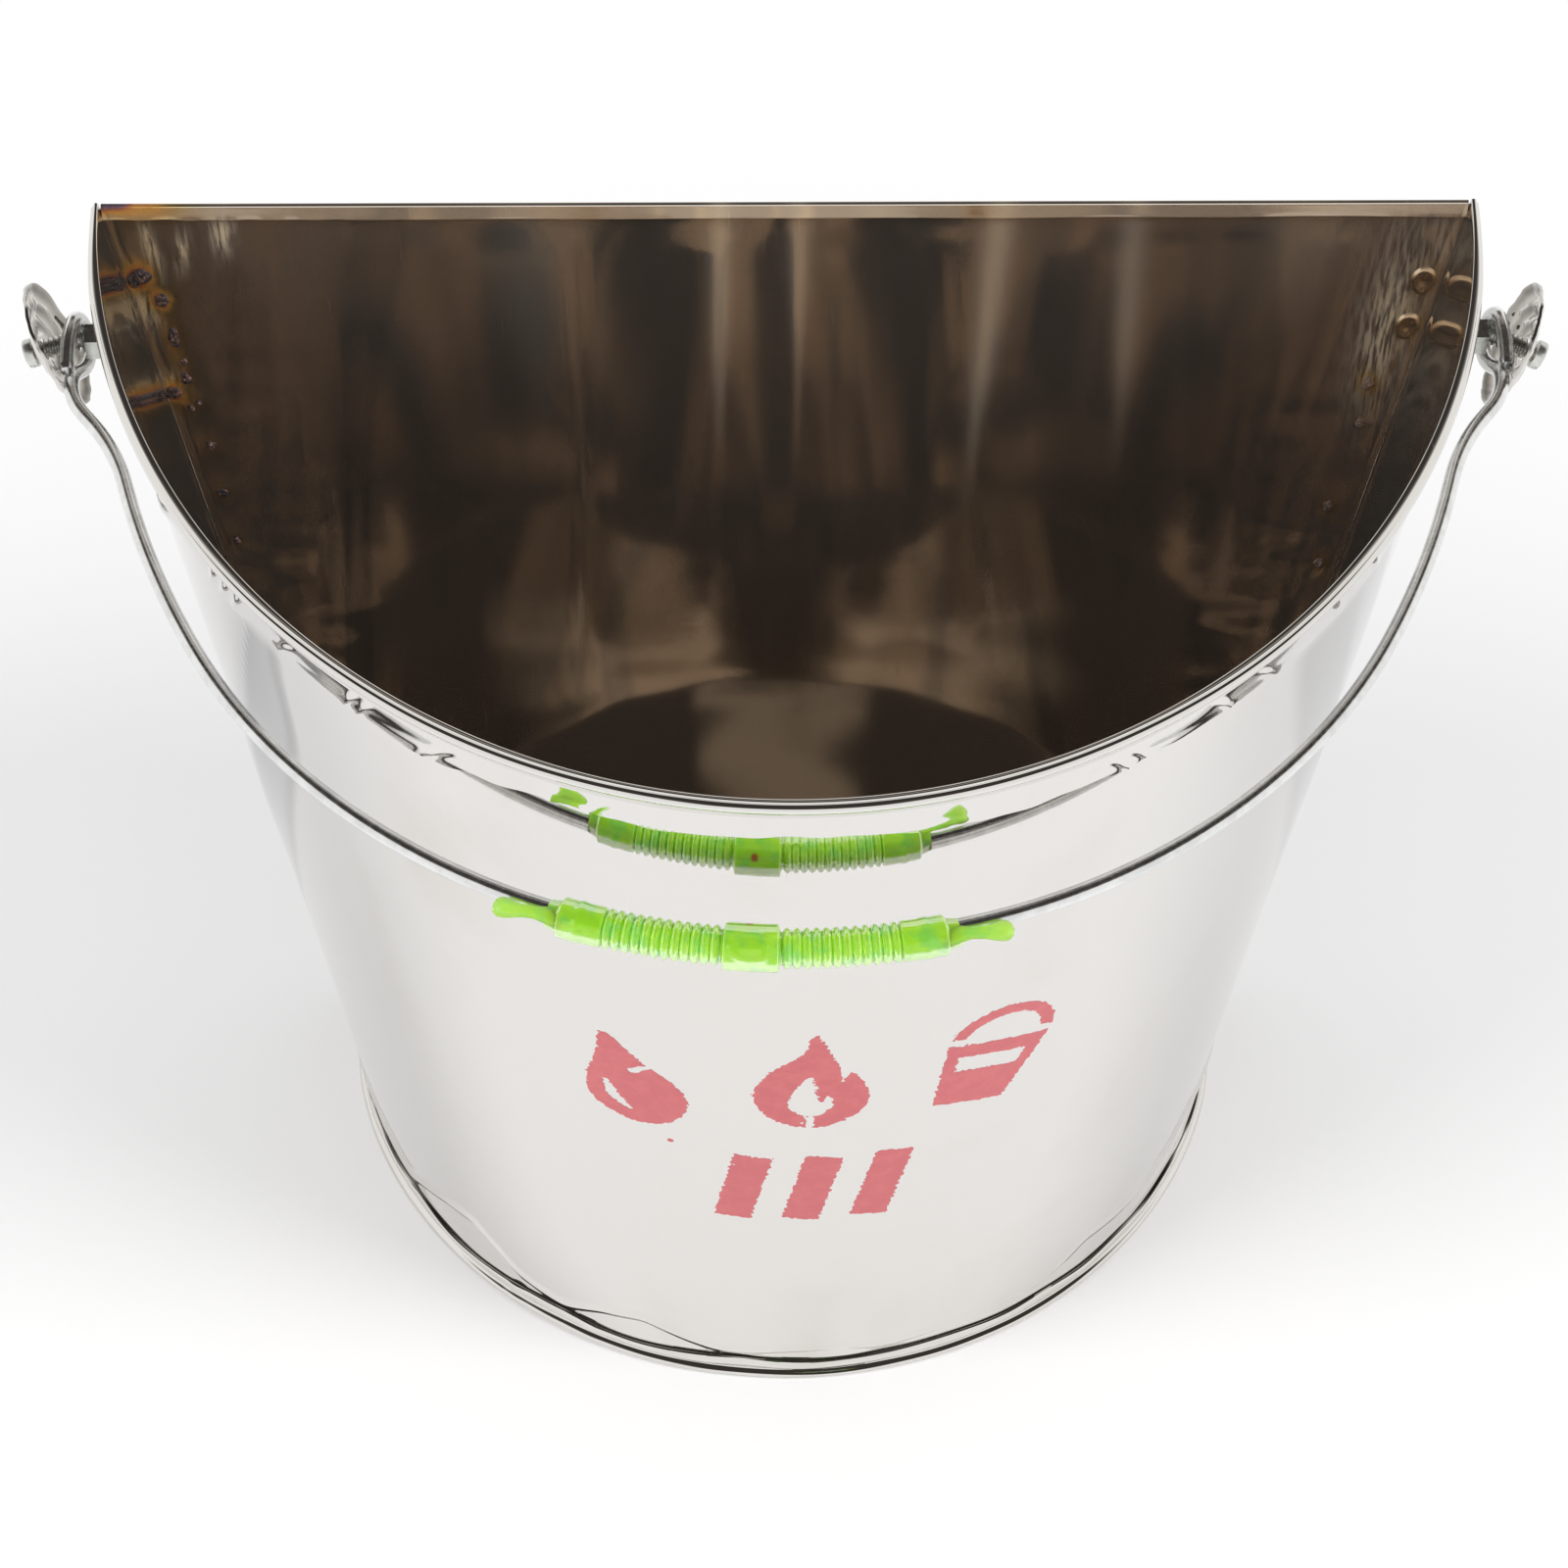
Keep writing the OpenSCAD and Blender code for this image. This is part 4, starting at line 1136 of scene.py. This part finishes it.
def make_cup(side):
    """A stamped dish with a rolled lip and slight hammer marks, hollow towards the bucket, with a painted
    dark reflection in the hollow.
    """
    name, t = "cup_" + NAMES[side], circle(96)
    r = np.concatenate([np.linspace(CUP_HOLE_R, 14.2, 58), [14.6, 14.85, 15.0]])[:, None]
    pressed = 0.2 * np.cos(r * 1.55) * step(r, 3, 5) * (1 - step(r, 12.5, 14.5))
    hammered = 0.2 * dents(r * np.cos(t), r * np.sin(t), 101 + side, 9, 9)
    hollow = np.sqrt(dish_r**2 - r**2) - dish_r + pressed + hammered
    along = np.concatenate([hollow, hollow[::-1] + CUP_WALL * 0.9])
    radius = np.concatenate([r, r[::-1]])
    start = tilted([CUP_AT, 0, 0], *SCREW_TILT[side])
    rings = on_ear(lathe(along, radius, t), side, CUP_TILT[side], start)
    # Painted dark reflection in the hollow: in rings, and strongest above and below the screw.
    shade = 0.9 * (0.5 - 0.5 * np.cos(r * 1.55 + 0.6)) * (0.4 + 0.6 * np.abs(np.sin(t))) * step(r, 3, 4)
    cup = make_piece(name, rings, skin(rings, side > 0, True), [steel_cup], sharp=50,
                     numbers={"painted_reflection": np.concatenate([shade, 0 * shade])})
    fit(cup, "bucket", "polished_steel", "ear_" + name)


for side in (-1, 1):
    make_cup(side)

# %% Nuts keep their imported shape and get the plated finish
for side in ("left", "right"):
    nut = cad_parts["ear_nut_" + side]
    nut.data.materials.clear()
    nut.data.materials.append(zinc_fastener)
    print("plated:", nut.name)

# %% [markdown]
# ## Bail
# The wire is bent into arcs that meet smoothly: one over the front, two round the sides, and a short
# counter-bend before each straight end. Its end is hooked over the screw in a long loop. The wire is
# a round section swept along that line; the sweep carries its frame with it, so it never twists.

# %% Radii of the bail's arcs
BAIL_ANGLE, REACH_PLAY, GRIP_COLLAR, SLEEVE_D = 79.0, 0.6, 10.8, 7.8
TURN_MID, TURN_SIDE, TURN_LOW, TURN_KNEE = (radians(v) for v in (27, 60, 72, 50))
KNEE_R, BEND_R, KNEE_STRAIGHT, LOW_TO_SIDE, EYE_LEN = 18.0, 60.0, 2.0, 1.6, 12.0
grip_ecc = (GRIP_COLLAR - SLEEVE_D) / 2 * 0.8
over_rim = hypot(-(TOP_DEPTH + BEAD) - EAR_Y, HEIGHT - RIM_FALL - BEAD - EAR_Z)
reach = over_rim + REACH_PLAY + GRIP_COLLAR / 2 - grip_ecc
sin_mid, sin_side, sin_low, sin_knee = (sin(v) for v in (TURN_MID, TURN_SIDE, TURN_LOW, TURN_KNEE))
cos_mid, cos_side, cos_low, cos_knee = (cos(v) for v in (TURN_MID, TURN_SIDE, TURN_LOW, TURN_KNEE))
knee_x = KNEE_R * (1 - sin_knee) + KNEE_STRAIGHT * cos_knee + BEND_R * (sin_low - sin_knee)
knee_t = EYE_LEN + KNEE_R * cos_knee + KNEE_STRAIGHT * sin_knee + BEND_R * (cos_knee - cos_low)
terms = [[sin_mid, sin_side - sin_mid + LOW_TO_SIDE * (sin_low - sin_side)],
         [1 - cos_mid, cos_mid - cos_side + LOW_TO_SIDE * (cos_side - cos_low)]]
mid_r, side_r = np.linalg.solve(terms, [EAR_X - knee_x, reach - knee_t])
low_r = side_r * LOW_TO_SIDE
print("bail radii, mm:", round(mid_r, 2), round(side_r, 2), " reach", round(reach, 2))


# %% The wire's line in its own flat drawing: across, along the reach
def arc_line(center, r, start, end, n):
    """Points on an arc; a negative radius bends it the other way."""
    a = np.linspace(start, end, n)
    return [*center, 0] + r * xyz(np.sin(a), np.cos(a), 0)


mid_c = np.array([0, reach - mid_r])
side_c = mid_c + (mid_r - side_r) * np.array([sin_mid, cos_mid])
low_c = side_c + (side_r - low_r) * np.array([sin_side, cos_side])
bend_c = low_c + (low_r + BEND_R) * np.array([sin_low, cos_low])
knee_c = np.array([EAR_X - KNEE_R, EYE_LEN])
half_line = np.concatenate([
    arc_line(mid_c, mid_r, 0, TURN_MID, 60)[:-1],
    arc_line(side_c, side_r, TURN_MID, TURN_SIDE, 60)[:-1],
    arc_line(low_c, low_r, TURN_SIDE, TURN_LOW, 24)[:-1],
    arc_line(bend_c, -BEND_R, TURN_LOW, TURN_KNEE, 24),
    arc_line(knee_c, KNEE_R, TURN_KNEE, pi / 2, 24)])
# Hooked end: across from the ear's middle, along the reach, and off the bail's plane
HOOK = [(0, 11.6, 0), (-0.6, 9.0, 1.6), (-1.1, 5.6, 3.9), (-1.2, 1.5, 5.2), (-0.9, -2.6, 4.6),
        (-0.4, -4.9, 1.6), (0.1, -4.9, -1.6), (0.5, -2.6, -4.2), (0.8, 1.5, -4.9), (0.9, 6.0, -4.4),
        (0.7, 10.2, -3.6), (0.3, 13.2, -3.3)]
right_line = np.concatenate([half_line, smooth_line(HOOK, 90) + [EAR_X, 0, 0]])
wire_line = np.concatenate([(right_line * [-1, 1, 1])[::-1][:-1], right_line])


# %% Sweeping a round section along a line
def even(line, spacing):
    """The same line with points at even spacing."""
    line = line[np.concatenate([[True], np.diff(lengths_along(line)) > 1e-6])]
    at = lengths_along(line)
    wanted = np.linspace(0, at[-1], int(at[-1] / spacing) + 1)
    return np.stack([np.interp(wanted, at, line[:, k]) for k in range(3)], -1)


def swept(line, radius, sides):
    """Rings of a round section along a line, carried along without twist."""
    along = unit(np.gradient(line, axis=0))
    across = np.zeros_like(line)
    across[0] = unit(np.cross(along[0], [0, 0, 1.0]))
    for i in range(1, len(line)):
        across[i] = unit(across[i - 1] - along[i] * (across[i - 1] @ along[i]))
    up = np.cross(along, across)
    t = circle(sides)[None, :, None]
    ring = across[:, None] * np.cos(t) + up[:, None] * np.sin(t)
    return line[:, None] + radius[:, None, None] * ring


BAIL_TURN = np.array(Matrix.Rotation(radians(270 - BAIL_ANGLE), 3, "X"))
WIRE_SIDES, SMOOTH_OVER = 28, 5


def on_bail(points):
    """From the bail's flat drawing to its place at rest."""
    return points @ BAIL_TURN.T + [0, EAR_Y, EAR_Z]


wire_line = even(wire_line, 1.0)
inner = slice(SMOOTH_OVER // 2, -(SMOOTH_OVER // 2))
for k in range(3):
    wire_line[inner, k] = np.convolve(wire_line[:, k], np.ones(SMOOTH_OVER) / SMOOTH_OVER, "valid")
radius = np.full(len(wire_line), WIRE_R)
radius[[0, -1]] *= 0.82
rings = swept(wire_line, radius, WIRE_SIDES)
wire = make_piece("bail", on_bail(rings), skin(rings), [galvanised], sharp=50)
fit(wire, "bail", "galvanised_wire", "bail_wire")

# %% [markdown]
# ## Grip
# A soft sleeve moulded from clear green vinyl, slipped over the wire. It has small ribs, a collar near
# each end, a thick collar in the middle with a bare oval boss, and a thin tongue at each end left by
# the mould. Everything is one skin round the middle arc: its radius follows a profile along the wire.

# %% The sleeve's profile
GRIP_SHIFT, GRIP_HALF, SLEEVE_R, COLLAR_R, HOLE_PLAY = 9.0, 41.5, 3.3, 4.85, 0.08
MID_HALF, COLLAR_LOW, COLLAR_HIGH, RIB_STEP = 5.7, 29.6, 38.8, 1.96
grip_r = mid_r + grip_ecc
grip_middle = GRIP_SHIFT / grip_r


def sleeve_radius(d):
    """Radius of the sleeve at distance d from its middle."""
    far = np.abs(d)
    ribs = 0.85 * np.abs(np.sin(pi * (far - MID_HALF - 0.4) / RIB_STEP)) ** 0.8
    ribs = ribs * step(far, MID_HALF + 0.2, MID_HALF + 0.8)
    ribs = ribs * (1 - step(far, COLLAR_LOW - 0.6, COLLAR_LOW))
    middle = 1.55 * (1 - step(far, MID_HALF - 0.5, MID_HALF + 0.2))
    collar = 0.85 * step(far, COLLAR_LOW - 0.2, COLLAR_LOW + 0.3)
    collar = collar * (1 - step(far, COLLAR_HIGH - 0.3, COLLAR_HIGH + 0.4))
    collar = collar + 0.18 * bump(far - 34.8, 0.8)
    return SLEEVE_R + ribs + middle + collar - 0.45 * step(far, COLLAR_HIGH, COLLAR_HIGH + 3)


def on_sleeve(d, off, side_off):
    """Point at length d along the sleeve, off outward in the bail's plane, side_off across it."""
    a = -d / grip_r - grip_middle
    out = xyz(np.sin(a), np.cos(a), 0)
    return [*mid_c, 0] + out * (grip_r + off)[..., None] + side_off[..., None] * [0, 0, 1.0]


# %% The sleeve, its mould seam and its boss
SEAM_TURN, BOSS_TURN, RUST_TURN = radians(265), radians(304), radians(222)
d = np.arange(-GRIP_HALF, GRIP_HALF + 0.01, 0.14)[:, None]
t = circle(48)
radius = sleeve_radius(d) * (1 + 0.012 * np.cos(2 * t + 0.4))
flash = 0.26 + 0.16 * waves(d, 111, 5) + 0.7 * bump(d + 8.5, 1.3)
radius = radius + flash * bump(wrapped(t - SEAM_TURN), 0.07)
radius = radius + 0.15 * bump(wrapped(t - SEAM_TURN - pi), 0.07)
from_boss = np.hypot(d / 4.0, wrapped(t - BOSS_TURN) * COLLAR_R / 2.5)
radius = radius + 0.32 * bump(from_boss - 1.0, 0.16) + 0.42 * (1 - step(from_boss, 0.1, 0.75))
rust = bump(np.hypot(d - 0.6, wrapped(t - RUST_TURN) * COLLAR_R), 1.1)
hole, hole_d = WIRE_R + HOLE_PLAY, d[::-4] + 0 * t
rings = np.concatenate([on_sleeve(d + 0 * t, radius * np.cos(t), radius * np.sin(t)),
                        on_sleeve(hole_d, hole * np.cos(t) - grip_ecc, hole * np.sin(t) + 0 * hole_d)])
sleeve = make_piece("sleeve", on_bail(rings), skin(rings, ring_loop=True), [vinyl], sharp=60,
                    numbers={"thin": np.zeros(rings.shape[:2]),
                             "rust": np.concatenate([rust, 0 * hole_d])})


# %% Tongues at the sleeve's ends
TONGUE_LINE = [(38.0, 1.2, -1.0), (41.0, 1.6, -1.8), (44.0, 2.6, -3.0), (47.5, 3.6, -3.4),
               (51.5, 4.0, -3.2)]
TONGUE_WIDTHS, TONGUE_SIDES, TONGUE_FLAT = [2.5, 2.0, 1.4, 1.5, 2.2, 2.5], 20, 0.72


def tongue(side):
    """A flat tapered tail with a round bulb: it leaves the sleeve and bends away from the wire."""
    d, off, rise = np.array(TONGUE_LINE).T
    path = even(smooth_line(on_sleeve(d * side, off, rise), 40), 0.5)
    share = np.linspace(0, 1, len(path))
    wide = np.interp(share, np.linspace(0, 1, len(TONGUE_WIDTHS)), TONGUE_WIDTHS)
    wide = wide * np.sqrt(np.clip(1 - np.clip((share - 0.84) / 0.155, 0, 1) ** 2, 0.002, 1))
    rings = swept(path, wide, TONGUE_SIDES)
    center = rings.mean(axis=1, keepdims=True)
    rings = center + (rings - center) * [1, 1, TONGUE_FLAT]
    thin = share[:, None] + np.zeros(TONGUE_SIDES)
    return make_piece(f"tongue{side}", on_bail(rings), skin(rings), [vinyl], sharp=60,
                      numbers={"thin": thin, "rust": 0 * thin})


fit(join("grip_sleeve", [sleeve, tongue(-1), tongue(1)]), "bail", "green_vinyl", "grip")

# %% [markdown]
# ## Floor, light and camera
# Polished steel shows its surroundings, so the studio matters as much as the metal. The floor is
# plain and pale, the light soft and wide, and a dark ceiling overhead gives the bright wire and rim
# their dark lines. The camera stands where the photograph was taken from.

# %% Floor: far from the bucket the paper is plain white for the eye and for what metal mirrors
FLOOR_R, FLOOR_DROP, FADE_FROM, FADE_TO = 7.0, -0.0004, 0.30, 0.62
bpy.ops.mesh.primitive_circle_add(vertices=96, radius=FLOOR_R, fill_type="NGON",
                                  location=(0, 0, FLOOR_DROP))
floor = bpy.context.object
floor.name = "studio_floor"
paper, n, shader = new_material("floor_paper", Base_Color=seen(247, 246, 245), Roughness=0.9)
distance = n.add("VectorMath", {0: n.place()}, operation="LENGTH").outputs["Value"]
ray = n.add("LightPath").outputs
for_metal = n.math("MAXIMUM", ray["Is Glossy Ray"], ray["Is Transmission Ray"])
looked_at = n.math("MAXIMUM", ray["Is Camera Ray"], for_metal)
white = n.add("Emission", {"Color": (1, 1, 1, 1), "Strength": 1.0})
far_white = n.times(n.range(distance, FADE_FROM, FADE_TO), looked_at)
blend = n.add("MixShader", {0: far_white, 1: shader.outputs[0], 2: white.outputs[0]})
n.put(blend.outputs[0], paper.node_tree.nodes["Material Output"].inputs["Surface"])
floor.data.materials.append(paper)
floor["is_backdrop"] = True

# %% Surroundings: white for the camera, a lit room with a dark ceiling for the metal
world = bpy.data.worlds.new("studio")
bpy.context.scene.world = world
world.use_nodes = True
n = Nodes(world.node_tree)
# A ray's direction has a part across, a part back and a part up, each from -1 to 1
direction = n.add("TexCoord").outputs["Generated"]
across, back, up = n.add("SeparateXYZ", {0: direction}).outputs
sideways = n.math("ABSOLUTE", across)
toward = n.math("ADD", back, 0.07)
off_middle = n.math("SQRT", n.line(toward, toward, n.times(across, across)))
aisle = n.range(n.math("ABSOLUTE", back), 0.84, 0.93, 1.0, 0.0)
aisle = n.times(n.range(sideways, 0.20, 0.42, 1.0, 0.0), aisle)
dark_room = n.math("MAXIMUM", n.range(off_middle, 0.70, 0.81, 1.0, 0.0), aisle)
window = n.times(n.range(back, 0.39, 0.44), n.range(sideways, 0.26, 0.31, 1.0, 0.0))
window = n.times(window, n.range(back, 0.66, 0.74, 1.0, 0.0))
ceiling = n.mix(window, seen(60, 56, 53), seen(150, 142, 132))
room = n.mix(n.times(dark_room, n.range(up, 0.0, 0.3)), seen(255, 253, 250), ceiling)
ray = n.add("LightPath").outputs
for_metal = n.math("MAXIMUM", ray["Is Glossy Ray"], ray["Is Transmission Ray"])
lit = n.mix(ray["Is Camera Ray"], n.mix(for_metal, seen(203, 204, 206), room), (1, 1, 1, 1))
n.put(lit, world.node_tree.nodes["Background"].inputs["Color"])


# %% Lamps
def soft_lamp(name, place, size, power):
    """A round lamp that faces the bucket and isn't mirrored in it."""
    lamp = bpy.data.lights.new(name, "AREA")
    lamp.shape, lamp.size, lamp.energy = "DISK", size, power
    holder = bpy.data.objects.new(name, lamp)
    bpy.context.scene.collection.objects.link(holder)
    holder.location = place
    holder.rotation_euler = (Vector((0, 0, 0.1)) - Vector(place)).to_track_quat("-Z", "Y").to_euler()
    holder.visible_glossy = False


soft_lamp("right_lamp", (1.7, -0.8, 1.5), 1.0, 28)
soft_lamp("left_lamp", (-1.7, -0.9, 1.5), 1.2, 27)

# %% Camera, as solved from the photograph
PITCH_DOWN, YAW, ROLL, LENS = 0.76924, 0.01347, 0.00414, 60.75
CAMERA_AT = np.array([-7.447, -554.150 + shift_y, 617.549]) * MM
forward = np.array([sin(YAW) * cos(PITCH_DOWN), cos(YAW) * cos(PITCH_DOWN), -sin(PITCH_DOWN)])
level = np.array([cos(YAW), -sin(YAW), 0.0])
upward = np.cross(level, forward)
right, top = cos(ROLL) * level + sin(ROLL) * upward, cos(ROLL) * upward - sin(ROLL) * level
camera_data = bpy.data.cameras.new("camera")
camera_data.sensor_width, camera_data.lens = 36.0, LENS
camera = bpy.data.objects.new("camera", camera_data)
scene = bpy.context.scene
scene.collection.objects.link(camera)
axes = np.column_stack([right, top, -forward, CAMERA_AT])
camera.matrix_world = Matrix([*axes.tolist(), [0, 0, 0, 1]])
scene.camera = camera
scene.view_settings.view_transform = "Standard"
scene.cycles.max_bounces, scene.cycles.glossy_bounces = 16, 14

# %% Measure the finished object's size, and finish
low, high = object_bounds()
